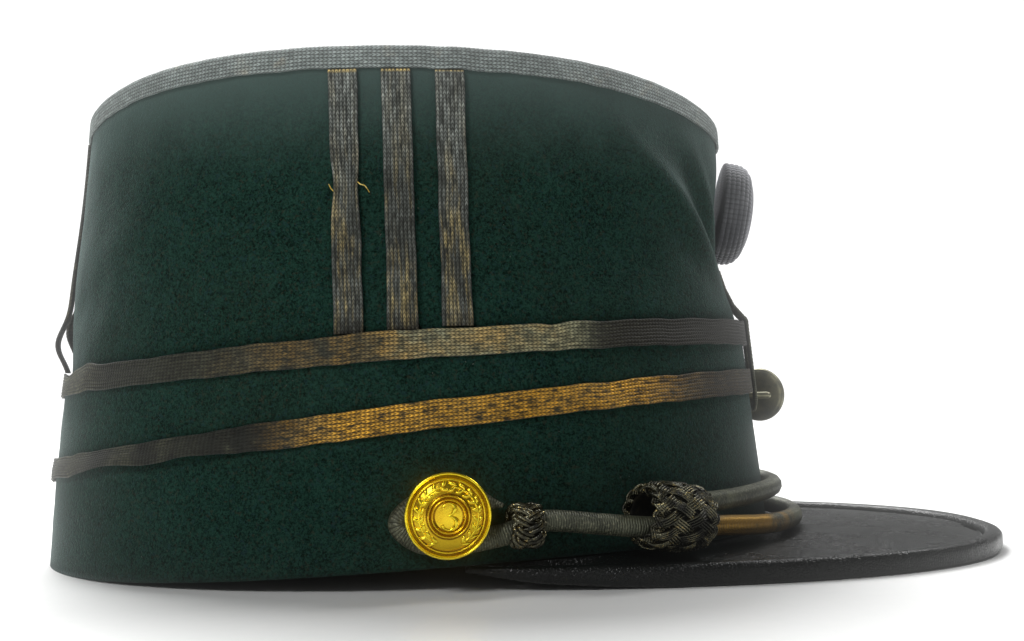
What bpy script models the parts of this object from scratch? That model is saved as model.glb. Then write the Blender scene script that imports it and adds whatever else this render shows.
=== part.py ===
"""An officer's shako: a tapered green cloth hat with a flat black peak, tarnished gold lace and a double chin cord.

Metres, +Z up. The peak points to +X, and the hat stands at Z = 0 on its back rim and on the edge of its peak.
The origin lies under the middle of the whole hat. Angles round the hat start at the front and grow towards +Y,
which is the wearer's left.
"""

import math

import bmesh
import bpy
from mathutils import Matrix, Vector

# Body: the stiff band round the head and the softer crown above it.
BAND_LENGTH = 0.204
BAND_WIDTH = 0.1688
BAND_WALL = 0.0030
CROWN_WALL = 0.0020
CROWN_SET_IN = 0.0012
WALL_LEAN = 0.1131
WALL_EASING = 0.0147
BACK_LEAN = 0.010
BACK_SWELL = 0.0007
SWELL_TOP = 0.056
GAP = 0.0003

# Heights round the hat: a mean, and what the front-to-back tilt, the saddle and four raised corners add.
TOP_EDGE = {"mean": 0.1264, "tilt": -0.0015, "saddle": -0.0047, "corners": -0.0008}
UPPER_LACE = {"mean": 0.0556, "tilt": 0.0059, "saddle": -0.0011}
LOWER_LACE = {"mean": 0.0378, "tilt": 0.0110, "saddle": -0.0017}
RIM_RISE = 0.0070
RIM_FLAT_TO = 150.0
RIM_FULL_AT = 55.0

# Tip: the disc that closes the top.
TIP_THICKNESS = 0.0020
TIP_SAG = 0.0022

# Lace: the woven band over the top edge, the two round the hat and the upright stripes.
LACE_WIDTH = 0.0068
LACE_THICKNESS = 0.0008
EDGE_LACE_DROP = 0.0058
EDGE_LACE_LAP = 0.0050
STRIPE_WIDTH = 0.0072
STRIPE_PITCH = 0.0129
SIDE_STRIPES_X = 0.0041
STRIPE_LEAN = 0.018

# Peak and its rolled edge. The peak is widest at its shoulder, a share of the way from the band's middle to its
# front, and ends in two ears that tuck in under the rim.
PEAK_REACH = 0.0633
PEAK_FLARE = 0.0009
PEAK_SHOULDER = 0.353
PEAK_SQUARENESS = 2.31
PEAK_THICKNESS = 0.0022
PEAK_EDGE_DROP = 0.0008
PLATE_LEAST = 0.0020
EAR_REACH = 0.019
EAR_TUCK = 0.0045
EAR_TURN = 75.0
EAR_SHARE = 0.15
BINDING_WIDTH = 0.0050
BINDING_HEIGHT = 0.0056
EAR_HEIGHT = 0.0016
EAR_WIDTH = 0.0026

# Buttons.
SIDE_BUTTON_RADIUS = 0.0100
SIDE_BUTTON_ANGLE = 82.3
SIDE_BUTTON_HEIGHT = 0.0181
SIDE_SHANK_HEIGHT = 0.0157
SIDE_BUTTON_SLACK = 0.0014
SIDE_BUTTON_DEPTH = 0.0046
FRONT_BUTTON_RADIUS = 0.0080
FRONT_BUTTON_DROP = 0.0045
FRONT_BUTTON_ANGLE = 8.0
FRONT_BUTTON_OUT = 0.0065
FRONT_BUTTON_DEPTH = 0.0036
FRONT_BUTTON_SWING = 59.0
SHANK_RADIUS = 0.0010

# Cockade and the loop that holds it.
COCKADE_HEIGHT = 0.0298
COCKADE_WIDTH = 0.0270
COCKADE_DEPTH = 0.0103
COCKADE_LEVEL = 0.606
COCKADE_SEAT = 0.0018
COCKADE_TILT = 9.0
COCKADE_RIBS = 6
COCKADE_RIB_DEPTH = 0.0004
LOOP_CORD_WIDTH = 0.0032
LOOP_CORD_THICKNESS = 0.0010
LOOP_SPREAD = 0.0062
LOOP_START = 0.0022

# Chin cord, its small fixed knots and its large slides.
CORD_DIAMETER = 0.0052
KNOT_ANGLE = 72.7
KNOT_LENGTH = 0.0076
KNOT_WALL = 0.0025
SLIDE_ANGLE = 52.2
SLIDE_LENGTH = 0.0190
SLIDE_WALL = 0.0031
SLIDE_DROP = 0.12

# How finely the round forms are faceted.
AROUND = 64
CROWN_ROWS = 8
CORD_SIDES = 8

# Folds and dents of the crown on one side, which both sides share. Level and tall are shares of the crown's
# height, out is a share of the deepest dent, width is in degrees, and slant is in degrees per height of the crown.
FOLD_DEPTH = 0.0052
FOLDS = (
    {"angle": 0.0, "level": 0.38, "width": 27.0, "tall": 0.285, "out": -1.0, "slant": 0.0},
    {"angle": 34.0, "level": 0.49, "width": 6.0, "tall": 0.30, "out": 0.50, "slant": 60.0},
    {"angle": 24.5, "level": 0.52, "width": 5.0, "tall": 0.25, "out": -0.30, "slant": 44.0},
    {"angle": 18.5, "level": 0.52, "width": 3.6, "tall": 0.24, "out": 0.35, "slant": 39.0},
    {"angle": 52.0, "level": 0.29, "width": 12.0, "tall": 0.27, "out": -0.29, "slant": 40.0},
    {"angle": 74.0, "level": 0.42, "width": 13.0, "tall": 0.31, "out": -0.19, "slant": 0.0},
    {"angle": 112.0, "level": 0.555, "width": 12.0, "tall": 0.16, "out": -0.23, "slant": -38.0},
    {"angle": 132.0, "level": 0.43, "width": 16.0, "tall": 0.16, "out": 0.23, "slant": -38.0},
    {"angle": 148.0, "level": 0.29, "width": 14.0, "tall": 0.12, "out": -0.23, "slant": -38.0},
    {"angle": 168.0, "level": 0.25, "width": 28.0, "tall": 0.33, "out": 0.375, "slant": 0.0},
)

# The upright stripes at the back, from the wearer's right to left. They have come loose low down: slack is a
# share of the widest slack, level and tall are shares of the crown's height.
STRIPE_SLACK = 0.0034
BACK_STRIPES = (
    {"name": "back_stripe_right", "place": -1, "slack": 1.0, "level": 0.15, "tall": 0.085},
    {"name": "back_stripe_middle", "place": 0, "slack": 0.8, "level": 0.21, "tall": 0.080},
    {"name": "back_stripe_left", "place": 1, "slack": 0.6, "level": 0.17, "tall": 0.085},
)

# The cockade's loop: down is a share of the way from the cockade to the button, and out is how far it lies
# outside the lace's face, as a share of the deepest dent.
LOOP_ROUTE = (
    {"down": 0.0, "out": -1.22},
    {"down": 0.15, "out": -0.98},
    {"down": 0.28, "out": -0.62},
    {"down": 0.40, "out": 0.02},
    {"down": 0.645, "out": 0.02},
    {"down": 0.81, "out": 0.02},
    {"down": 1.0, "out": 0.02},
)

# A chin cord's eye round the button's shank, then its run to the slide. Angles are from the front, on the
# button's own side. The steps are the straight pieces up to the next row.
CORD_START = (
    {"angle": 75.0, "out": 0.0042, "height": 0.0196, "steps": 1},
    {"angle": 76.2, "out": 0.0036, "height": 0.0200, "steps": 1},
    {"angle": 79.4, "out": 0.0031, "height": 0.0209, "steps": 1},
    {"angle": 82.8, "out": 0.0031, "height": 0.0211, "steps": 1},
    {"angle": 86.1, "out": 0.0031, "height": 0.0202, "steps": 2},
    {"angle": 88.4, "out": 0.0031, "height": 0.0161, "steps": 2},
    {"angle": 86.1, "out": 0.0031, "height": 0.0121, "steps": 1},
    {"angle": 82.8, "out": 0.0031, "height": 0.0113, "steps": 1},
    {"angle": 79.4, "out": 0.0031, "height": 0.0116, "steps": 1},
    {"angle": 76.2, "out": 0.0036, "height": 0.0126, "steps": 1},
    {"angle": 73.8, "out": 0.0048, "height": 0.0138, "steps": 1},
    {"angle": 71.4, "out": 0.0054, "height": 0.0156, "steps": 1},
    {"angle": 68.4, "out": 0.0056, "height": 0.0158, "steps": 2},
    {"angle": 62.0, "out": 0.0068, "height": 0.0145, "steps": 2},
    {"angle": 55.6, "out": 0.0088, "height": 0.0133, "steps": 1},
)

# The rest of the right cord, low round the front, where it lies on the peak.
LOW_RUN = (
    {"angle": 44.4, "out": 0.0088, "height": 0.0122, "steps": 2},
    {"angle": 30.0, "out": 0.0080, "height": 0.0104, "steps": 2},
    {"angle": 15.0, "out": 0.0077, "height": 0.0096, "steps": 2},
    {"angle": 0.0, "out": 0.0076, "height": 0.0096, "steps": 2},
    {"angle": -15.0, "out": 0.0077, "height": 0.0096, "steps": 2},
    {"angle": -30.0, "out": 0.0082, "height": 0.0100, "steps": 2},
    {"angle": -42.0, "out": 0.0086, "height": 0.0108, "steps": 1},
    {"angle": -47.0, "out": 0.0090, "height": 0.0113, "steps": 1},
)

# The rest of the left cord, high round the front, close to the band.
HIGH_RUN = (
    {"angle": 44.4, "out": 0.0070, "height": 0.0172, "steps": 2},
    {"angle": 30.0, "out": 0.0038, "height": 0.0176, "steps": 2},
    {"angle": 15.0, "out": 0.0032, "height": 0.0178, "steps": 2},
    {"angle": 0.0, "out": 0.0031, "height": 0.0178, "steps": 2},
    {"angle": -15.0, "out": 0.0032, "height": 0.0178, "steps": 2},
    {"angle": -30.0, "out": 0.0038, "height": 0.0176, "steps": 2},
    {"angle": -42.0, "out": 0.0066, "height": 0.0177, "steps": 1},
    {"angle": -47.0, "out": 0.0074, "height": 0.0182, "steps": 1},
)

# The origin is moved from the middle of the band to the middle of the whole hat.
ORIGIN_X = PEAK_REACH / 2
RIGHT, LEFT = -1, 1


def clear_scene():
    for obj in list(bpy.data.objects):
        bpy.data.objects.remove(obj)


def material(name, colour, roughness, metallic=0.0):
    made = bpy.data.materials.new(name)
    made.use_nodes = True
    shader = made.node_tree.nodes["Principled BSDF"]
    shader.inputs["Base Color"].default_value = (*colour, 1.0)
    shader.inputs["Roughness"].default_value = roughness
    shader.inputs["Metallic"].default_value = metallic
    made.diffuse_color = (*colour, 1.0)
    return made


def finish(name, bm, finish_material):
    """One closed body as a named object, shaded smooth, with its place in its location."""
    bmesh.ops.recalc_face_normals(bm, faces=bm.faces)
    mesh = bpy.data.meshes.new(name)
    bm.to_mesh(mesh)
    bm.free()
    mesh.shade_smooth()
    mesh.set_sharp_from_angle(angle=math.radians(40))
    mesh.materials.append(finish_material)
    obj = bpy.data.objects.new(name, mesh)
    obj.location = (-ORIGIN_X, 0, 0)
    bpy.context.scene.collection.objects.link(obj)
    return obj


def loft(name, sections, finish_material, closed):
    """Joins closed sections of equally many points. A closed loft ends where it began, an open one is capped."""
    bm = bmesh.new()
    rings = [[bm.verts.new(point) for point in section] for section in sections]
    last = len(rings) if closed else len(rings) - 1
    for i in range(last):
        here, there = rings[i], rings[(i + 1) % len(rings)]
        for j in range(len(here)):
            k = (j + 1) % len(here)
            bm.faces.new((here[j], here[k], there[k], there[j]))
    if not closed:
        bm.faces.new(rings[0])
        bm.faces.new(rings[-1])
    return finish(name, bm, finish_material)


def turned(bm, profile, place, sides):
    """Spins a profile of (radius, reach) pairs about the X axis of a place. Its first and last radius are 0."""
    start = [bm.verts.new((reach, radius, 0)) for radius, reach in profile]
    edges = [bm.edges.new(pair) for pair in zip(start, start[1:])]
    bmesh.ops.spin(
        bm, geom=start + edges, axis=(1, 0, 0), cent=(0, 0, 0), angle=2 * math.pi, steps=sides, use_merge=True
    )
    bmesh.ops.remove_doubles(bm, verts=bm.verts, dist=1e-6)
    bmesh.ops.transform(bm, matrix=place, verts=bm.verts)


def place_along(origin, direction):
    """The matrix that lays the X axis along a direction and keeps Z as near upright as it can."""
    along = direction.normalized()
    across = Vector((0, 0, 1)).cross(along).normalized()
    up = along.cross(across)
    turn = Matrix((along, across, up)).transposed().to_4x4()
    return Matrix.Translation(origin) @ turn


def ease(share):
    share = min(1.0, max(0.0, share))
    return share * share * (3 - 2 * share)


def level(heights, angle):
    """The height of a ring that is tilted and saddled."""
    height = heights["mean"] + heights["tilt"] * math.cos(angle) + heights["saddle"] * math.cos(2 * angle)
    return height + heights.get("corners", 0.0) * math.cos(4 * angle)


def rim_level(angle):
    """The band's lower edge: flat at the back, then rising towards the peak."""
    from_front = abs(math.degrees(math.atan2(math.sin(angle), math.cos(angle))))
    return RIM_RISE * ease((RIM_FLAT_TO - from_front) / (RIM_FLAT_TO - RIM_FULL_AT))


def lean_in(height):
    return height * (WALL_LEAN - WALL_EASING * height / TOP_EDGE["mean"])


def half_length(height):
    return BAND_LENGTH / 2 - lean_in(height)


def half_width(height):
    return BAND_WIDTH / 2 - lean_in(height)


def outward(angle, height):
    """The horizontal direction that faces away from the oval."""
    return Vector((math.cos(angle) / half_length(height), math.sin(angle) / half_width(height), 0)).normalized()


def on_wall(angle, height, out=0.0):
    """A point on the hat's plain oval wall, or that far outside it."""
    base = Vector((half_length(height) * math.cos(angle), half_width(height) * math.sin(angle), height))
    backward = (1 - math.cos(angle)) / 2
    base.x -= BACK_LEAN * height * backward
    swell = BACK_SWELL * backward * math.sin(math.pi * min(1.0, max(0.0, height / SWELL_TOP)))
    return base + outward(angle, height) * (out + swell)


def crown_share(angle, height):
    """How far up the crown a height is, from 0 at its seam to 1 at its top edge."""
    low, high = level(UPPER_LACE, angle), level(TOP_EDGE, angle)
    return (height - low) / (high - low)


def crown_height(angle, share):
    low, high = level(UPPER_LACE, angle), level(TOP_EDGE, angle)
    return low + (high - low) * share


def crown_relief(angle, height):
    """How far the crown's cloth stands off the plain wall: set in a little, with its folds and dents."""
    from_front = abs(math.degrees(math.atan2(math.sin(angle), math.cos(angle))))
    share = crown_share(angle, height)
    out = 0.0
    for fold in FOLDS:
        middle = fold["angle"] + fold["slant"] * (share - fold["level"])
        along = (share - fold["level"]) / fold["tall"]
        weight = 0.5 if fold["angle"] == 0 else 1.0
        for seen_from in (from_front, -from_front):
            across = (seen_from - middle) / fold["width"]
            out += weight * FOLD_DEPTH * fold["out"] * math.exp(-across * across - along * along)
    return out * ease(share / 0.25) * ease((1 - share) / 0.12) - CROWN_SET_IN


def on_crown(angle, height, out=0.0):
    return on_wall(angle, height, out + crown_relief(angle, height))


def angles_round():
    return [2 * math.pi * i / AROUND for i in range(AROUND)]


def make_headband(cloth):
    sections = []
    for angle in angles_round():
        low = rim_level(angle)
        high = level(UPPER_LACE, angle) - GAP / 2
        heights = [low + (high - low) * share for share in (0.0, 0.5, 1.0)]
        outer = [on_wall(angle, height) for height in heights]
        inner = [on_wall(angle, height, -BAND_WALL) for height in reversed(heights)]
        sections.append(outer + inner)
    return loft("headband", sections, cloth, closed=True)


def crown_top(angle):
    """The height of the crown's upper edge, which the edge lace covers."""
    return level(TOP_EDGE, angle) - LACE_THICKNESS - GAP


def make_crown(cloth):
    sections = []
    for angle in angles_round():
        low = level(UPPER_LACE, angle) + GAP / 2
        high = crown_top(angle)
        heights = [low + (high - low) * row / (CROWN_ROWS - 1) for row in range(CROWN_ROWS)]
        outer = [on_crown(angle, height) for height in heights]
        inner = [on_crown(angle, height, -CROWN_WALL) for height in reversed(heights)]
        sections.append(outer + inner)
    return loft("crown", sections, cloth, closed=True)


def tip_point(angle, share, drop):
    """A point of the tip, a share of the way from its middle to its edge."""
    edge = on_crown(angle, crown_top(angle), -CROWN_WALL - GAP)
    saddle = TOP_EDGE["mean"] + share * TOP_EDGE["tilt"] * math.cos(angle)
    saddle += share * share * TOP_EDGE["saddle"] * math.cos(2 * angle)
    saddle += share ** 4 * TOP_EDGE["corners"] * math.cos(4 * angle)
    height = saddle - LACE_THICKNESS - GAP - TIP_SAG * (1 - share * share) - drop
    return Vector((edge.x * share, edge.y * share, height))


def make_tip(cloth):
    bm = bmesh.new()
    shares = (0.6, 1.0)
    rings = []
    for drop, order in ((0.0, shares), (TIP_THICKNESS, tuple(reversed(shares)))):
        rings += [[bm.verts.new(tip_point(angle, share, drop)) for angle in angles_round()] for share in order]
    for here, there in zip(rings, rings[1:]):
        for i in range(AROUND):
            k = (i + 1) % AROUND
            bm.faces.new((here[i], here[k], there[k], there[i]))
    for ring, drop in ((rings[0], 0.0), (rings[-1], TIP_THICKNESS)):
        middle = bm.verts.new(tip_point(0.0, 0.0, drop))
        for i in range(AROUND):
            bm.faces.new((ring[i], ring[(i + 1) % AROUND], middle))
    return finish("tip", bm, cloth)


def make_edge_lace(lace):
    """The lace folded over the top edge, down the outside and in over the tip."""
    thick = LACE_THICKNESS
    section = (
        (GAP, -EDGE_LACE_DROP),
        (GAP + thick, -EDGE_LACE_DROP),
        (GAP + thick, -2 * thick),
        (GAP + 0.5 * thick, -0.6 * thick),
        (-0.5 * thick, 0.0),
        (-EDGE_LACE_LAP, 0.0),
        (-EDGE_LACE_LAP, -thick),
        (-GAP, -thick),
        (GAP, -1.6 * thick),
    )
    sections = []
    for angle in angles_round():
        top = level(TOP_EDGE, angle)
        sections.append([on_crown(angle, top + rise, out) for out, rise in section])
    return loft("edge_lace", sections, lace, closed=True)


def make_ring_lace(name, heights, lace):
    """A flat lace sewn round the hat, on the wall."""
    sections = []
    for angle in angles_round():
        middle = level(heights, angle)
        low, high = middle - LACE_WIDTH / 2, middle + LACE_WIDTH / 2
        corners = ((low, GAP), (low, GAP + LACE_THICKNESS), (high, GAP + LACE_THICKNESS), (high, GAP))
        sections.append([on_wall(angle, height, out) for height, out in corners])
    return loft(name, sections, lace, closed=True)


def stripe_section(angle, height, slack):
    """A flat crossing of an upright stripe, square to the wall."""
    middle = on_crown(angle, height, GAP + slack)
    out = outward(angle, height)
    across = Vector((-out.y, out.x, 0)) * STRIPE_WIDTH / 2
    raised = out * LACE_THICKNESS
    return [middle - across, middle + across, middle + across + raised, middle - across + raised]


def stripe_heights(angle):
    """From just over the upper lace to just under the edge lace."""
    low = level(UPPER_LACE, angle) + LACE_WIDTH / 2 + GAP
    high = level(TOP_EDGE, angle) - EDGE_LACE_DROP - GAP
    steps = CROWN_ROWS + 1
    return [low + (high - low) * i / steps for i in range(steps + 1)]


def make_side_stripes(side, word, lace):
    for number, place in enumerate((-1, 0, 1), start=1):
        sections = []
        x_low = SIDE_STRIPES_X + place * STRIPE_PITCH
        guess = side * math.acos(x_low / half_length(level(UPPER_LACE, math.pi / 2)))
        for height in stripe_heights(guess):
            x = x_low - STRIPE_LEAN * (height - level(UPPER_LACE, guess))
            angle = side * math.acos(x / half_length(height))
            sections.append(stripe_section(angle, height, 0.0))
        loft(f"{word}_stripe_{number}", sections, lace, closed=False)


def make_back_stripes(lace):
    for stripe in BACK_STRIPES:
        sections = []
        y = stripe["place"] * STRIPE_PITCH
        guess = math.pi - math.asin(y / half_width(level(UPPER_LACE, math.pi)))
        for height in stripe_heights(guess):
            angle = math.pi - math.asin(y / half_width(height))
            bulge = (crown_share(angle, height) - stripe["level"]) / stripe["tall"]
            slack = STRIPE_SLACK * stripe["slack"] * math.exp(-bulge * bulge)
            sections.append(stripe_section(angle, height, slack))
        loft(stripe["name"], sections, lace, closed=False)


def peak_outline(share):
    """The peak's outer edge in plan, from one ear at -1 past the tip at 0 to the other ear at 1."""
    side = math.copysign(1.0, share)
    shoulder, half = PEAK_SHOULDER * BAND_LENGTH / 2, BAND_WIDTH / 2 + PEAK_FLARE
    tip = BAND_LENGTH / 2 + PEAK_REACH
    along = abs(share) / (1 - EAR_SHARE)
    if along <= 1:
        turn = along * math.pi / 2
        power = 2 / PEAK_SQUARENESS
        x = shoulder + (tip - shoulder) * max(0.0, math.cos(turn)) ** power
        y = half * math.sin(turn) ** power
    else:
        turn = math.radians(EAR_TURN) * (abs(share) - (1 - EAR_SHARE)) / EAR_SHARE
        x = shoulder - EAR_REACH * math.sin(turn)
        y = half - EAR_TUCK * (1 - math.cos(turn))
    return Vector((x, side * y, 0))


def wall_angle(share):
    """Where on the wall the peak's plate is joined, for a place on its outline."""
    return share * math.acos(peak_outline(1.0).x / (BAND_LENGTH / 2))


def peak_inward(share):
    """The horizontal direction from the outline towards the head."""
    step = 0.004
    before, after = peak_outline(max(-1.0, share - step)), peak_outline(min(1.0, share + step))
    along = (after - before).normalized()
    return Vector((-along.y, along.x, 0))


def ear_share(share):
    """0 along the peak's edge, growing to 1 at the end of an ear."""
    return ease((abs(share) - (1 - 1.7 * EAR_SHARE)) / (1.7 * EAR_SHARE))


def binding_size(share):
    """Width, lowest and highest level of the rolled edge, which thins as it tucks in under the rim."""
    tuck = ear_share(share)
    width = BINDING_WIDTH + (EAR_WIDTH - BINDING_WIDTH) * tuck
    high = min(BINDING_HEIGHT, rim_level(wall_angle(share)) - GAP)
    tall = BINDING_HEIGHT + (EAR_HEIGHT - BINDING_HEIGHT) * tuck
    return width, high - tall if tuck else 0.0, high


def peak_shares():
    """Closer together at the ears, where the outline turns."""
    steps = 38
    return [math.sin(math.pi / 2 * (2 * i / steps - 1)) for i in range(steps + 1)]


def plate_section(share):
    """A crossing of the peak's plate, from inside its rolled edge to under the headband."""
    angle = wall_angle(share)
    width, low, high = binding_size(share)
    inward = peak_inward(share)
    outer = peak_outline(share) + inward * (width + GAP)
    seat = rim_level(angle) - GAP
    inner = on_wall(angle, seat, -BAND_WALL)
    seam = on_wall(angle, seat, 0.0006)
    inner.z = seam.z = 0
    edge = min(high - PEAK_EDGE_DROP, (low + high) / 2 + PEAK_THICKNESS / 2, seat)
    reach = (inner - outer).dot(inward)
    open_part = max(0.05, min(0.97, (seam - outer).dot(inward) / reach)) if reach > 0 else 1.0
    top = []
    for step in (0.0, open_part * 0.33, open_part * 0.67, open_part, 1.0):
        point = outer.lerp(inner, step)
        point.z = edge + (seat - edge) * min(1.0, step / open_part)
        top.append(point)
    drop = Vector((0, 0, PEAK_THICKNESS))
    return reach, top + [point - drop for point in reversed(top)]


def make_peak(leather):
    plates = [plate_section(share) for share in peak_shares()]
    sections = [section for reach, section in plates if reach > PLATE_LEAST]
    return loft("peak", sections, leather, closed=False)


def make_binding(leather):
    """The rolled leather edge of the peak, upright and rounded."""
    sections = []
    sides = 8
    for share in peak_shares():
        width, low, high = binding_size(share)
        edge, inward = peak_outline(share), peak_inward(share)
        ring = []
        for i in range(sides):
            turn = 2 * math.pi * i / sides
            squared = [math.copysign(abs(v) ** 0.6, v) for v in (math.cos(turn), math.sin(turn))]
            point = edge + inward * (width / 2 * (1 + squared[0]))
            point.z = (low + high) / 2 + (high - low) / 2 * squared[1]
            ring.append(point)
        sections.append(ring)
    return loft("peak_binding", sections, leather, closed=False)


def button_profile(radius, depth):
    """(radius, reach) pairs of a domed button, from the middle of its back to the middle of its face."""
    return (
        (0.0, 0.0),
        (0.88 * radius, 0.0),
        (radius, 0.12 * depth),
        (radius, 0.30 * depth),
        (0.95 * radius, 0.42 * depth),
        (0.88 * radius, 0.36 * depth),
        (0.84 * radius, 0.46 * depth),
        (0.60 * radius, 0.76 * depth),
        (0.46 * radius, 0.88 * depth),
        (0.43 * radius, 0.97 * depth),
        (0.38 * radius, 0.90 * depth),
        (0.20 * radius, 0.98 * depth),
        (0.0, depth),
    )


def tube(bm, points, radius, sides):
    """A round rod through points, capped at both ends."""
    rings = []
    for i, point in enumerate(points):
        along = points[min(i + 1, len(points) - 1)] - points[max(i - 1, 0)]
        frame = place_along(point, along)
        turns = [2 * math.pi * j / sides for j in range(sides)]
        rings.append([bm.verts.new(frame @ Vector((0, radius * math.cos(t), radius * math.sin(t)))) for t in turns])
    for here, there in zip(rings, rings[1:]):
        for j in range(sides):
            k = (j + 1) % sides
            bm.faces.new((here[j], here[k], there[k], there[j]))
    bm.faces.new(rings[0])
    bm.faces.new(rings[-1])


def make_button(name, radius, depth, facing, shank_route, brass):
    """A domed button at the end of its shank, which starts at the wall."""
    back = shank_route[-1]
    bm = bmesh.new()
    turned(bm, button_profile(radius, depth), place_along(back, facing), 20)
    body = finish(name, bm, brass)
    rod = bmesh.new()
    tube(rod, shank_route + [back + facing.normalized() * depth * 0.3], SHANK_RADIUS, 8)
    shank = finish(name + "_shank", rod, brass)
    shank.hide_render = True
    shank.display_type = "WIRE"
    join = body.modifiers.new("shank", "BOOLEAN")
    join.operation = "UNION"
    join.object = shank
    return body


def make_side_button(side, word, brass):
    angle = side * math.radians(SIDE_BUTTON_ANGLE)
    back = on_wall(angle, SIDE_BUTTON_HEIGHT, CORD_DIAMETER + SIDE_BUTTON_SLACK)
    foot = on_wall(angle, SIDE_SHANK_HEIGHT, GAP)
    facing = outward(angle, SIDE_BUTTON_HEIGHT)
    name = f"side_button_{word}"
    return make_button(name, SIDE_BUTTON_RADIUS, SIDE_BUTTON_DEPTH, facing, [foot, back], brass)


def front_button_height():
    return level(LOWER_LACE, 0.0) - FRONT_BUTTON_DROP


def make_front_button(brass):
    """The small button under the cockade has swung round on its slack shank and faces the wearer's left."""
    height = front_button_height()
    back = on_wall(math.radians(FRONT_BUTTON_ANGLE), height, FRONT_BUTTON_OUT)
    bend = on_wall(0.0, height, FRONT_BUTTON_OUT - 1.2 * SHANK_RADIUS)
    turn = bend + Vector((SHANK_RADIUS, 1.4 * SHANK_RADIUS, 0))
    shank_route = [on_wall(0.0, height, GAP), bend, turn, back]
    swing = math.radians(FRONT_BUTTON_SWING)
    facing = Vector((math.cos(swing), math.sin(swing), 0))
    return make_button("front_button", FRONT_BUTTON_RADIUS, FRONT_BUTTON_DEPTH, facing, shank_route, brass)


def make_cockade(cord):
    """A domed oval boss of cord wound in rings."""
    steps = 2 * COCKADE_RIBS
    profile = [(0.0, 0.0)]
    for i in range(steps + 1):
        share = i / steps
        dome = (1 - share ** 4.5) ** (1 / 1.9)
        groove = COCKADE_RIB_DEPTH if i % 2 else 0.0
        profile.append((max(0.0, dome - groove / (COCKADE_HEIGHT / 2)), share * 0.97))
    profile[-1] = (0.0, 0.972)
    profile.insert(-1, (0.30, 0.947))
    middle = on_crown(0.0, crown_height(0.0, COCKADE_LEVEL), COCKADE_SEAT)
    place = Matrix.Translation(middle) @ Matrix.Rotation(math.radians(COCKADE_TILT), 4, "Y")
    sizes = Matrix.Diagonal((COCKADE_DEPTH, COCKADE_WIDTH / 2, COCKADE_HEIGHT / 2, 1))
    bm = bmesh.new()
    turned(bm, profile, place @ sizes, 20)
    return finish("cockade", bm, cord)


def loop_point(share):
    """A point on the front of the hat, down the cockade's loop."""
    along = share * (len(LOOP_ROUTE) - 1)
    row = min(int(along), len(LOOP_ROUTE) - 2)
    here, there = LOOP_ROUTE[row], LOOP_ROUTE[row + 1]
    part = along - row
    down = here["down"] + (there["down"] - here["down"]) * part
    out = here["out"] + (there["out"] - here["out"]) * part
    top = crown_height(0.0, COCKADE_LEVEL) - COCKADE_HEIGHT / 2 - LOOP_START
    height = top + (front_button_height() - top) * down
    return on_wall(0.0, height, LACE_THICKNESS + 2 * GAP + out * FOLD_DEPTH)


def make_cockade_loop(cord):
    """Two runs of flat cord side by side, joined by a turn under the button's shank."""
    downs = [loop_point(i / 10) for i in range(11)]
    spread = LOOP_SPREAD / 2
    route = [(point, Vector((0, -spread, 0)), Vector((0, 1, 0))) for point in downs]
    for turn in (30, 60, 90, 120, 150):
        swing = math.radians(turn)
        away = Vector((0, -spread * math.cos(swing), -spread * math.sin(swing)))
        route.append((downs[-1], away, -away.normalized()))
    route += [(point, Vector((0, spread, 0)), Vector((0, -1, 0))) for point in reversed(downs)]
    sections = []
    for middle, away, inward in route:
        at = middle + away
        half = inward * LOOP_CORD_WIDTH / 2
        raised = Vector((LOOP_CORD_THICKNESS, 0, 0))
        sections.append([at - half, at + half, at + half + raised, at - half + raised])
    return loft("cockade_loop", sections, cord, closed=False)


def route_points(rows):
    """A smooth line through the rows of a cord's route."""
    spots = [on_wall(math.radians(row["angle"]), row["height"], row["out"]) for row in rows]
    points = []
    for i in range(len(spots) - 1):
        before, here, there = spots[max(i - 1, 0)], spots[i], spots[i + 1]
        after = spots[min(i + 2, len(spots) - 1)]
        for step in range(rows[i]["steps"]):
            t = step / rows[i]["steps"]
            bend = (2 * before - 5 * here + 4 * there - after) * t * t
            bend += (3 * here - before - 3 * there + after) * t ** 3
            points.append(here + ((there - before) * t + bend) / 2)
    points.append(spots[-1])
    return points


def chin_cord_points(side, rows):
    """A cord's route on its own side of the hat: the rows are written for the wearer's left."""
    return [Vector((point.x, side * point.y, point.z)) for point in route_points(rows)]


def cord_at(side, rows, angle):
    """The point where a cord passes an angle on its own side, after its eye, or on the other side below 0."""
    points = chin_cord_points(side, after_eye(rows))
    turns = [math.degrees(math.atan2(side * point.y / half_width(0), point.x / half_length(0))) for point in points]
    for here, there, turn, next_turn in zip(points, points[1:], turns, turns[1:]):
        if next_turn <= angle <= turn:
            return here.lerp(there, (turn - angle) / (turn - next_turn))
    return points[-1]


def after_eye(rows):
    """The rows of a cord from where its eye turns back, which are the ones that run into knots."""
    turn_back = max(range(len(CORD_START)), key=lambda i: rows[i]["angle"])
    return rows[turn_back + 3:]


def make_chin_cord(name, points, cord):
    curve = bpy.data.curves.new(name, "CURVE")
    curve.dimensions = "3D"
    curve.bevel_depth = CORD_DIAMETER / 2
    curve.bevel_resolution = 2
    curve.use_fill_caps = True
    spline = curve.splines.new("POLY")
    spline.points.add(len(points) - 1)
    for spot, point in zip(spline.points, points):
        spot.co = (*point, 1)
    curve.materials.append(cord)
    obj = bpy.data.objects.new(name, curve)
    obj.location = (-ORIGIN_X, 0, 0)
    bpy.context.scene.collection.objects.link(obj)
    return obj


def make_cutter(name, points, cord):
    """The room that a cord needs inside a knot."""
    bm = bmesh.new()
    tube(bm, points, CORD_DIAMETER / 2 * 1.08 + GAP, CORD_SIDES)
    cutter = finish(name, bm, cord)
    cutter.hide_render = True
    cutter.display_type = "WIRE"
    return cutter


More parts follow.
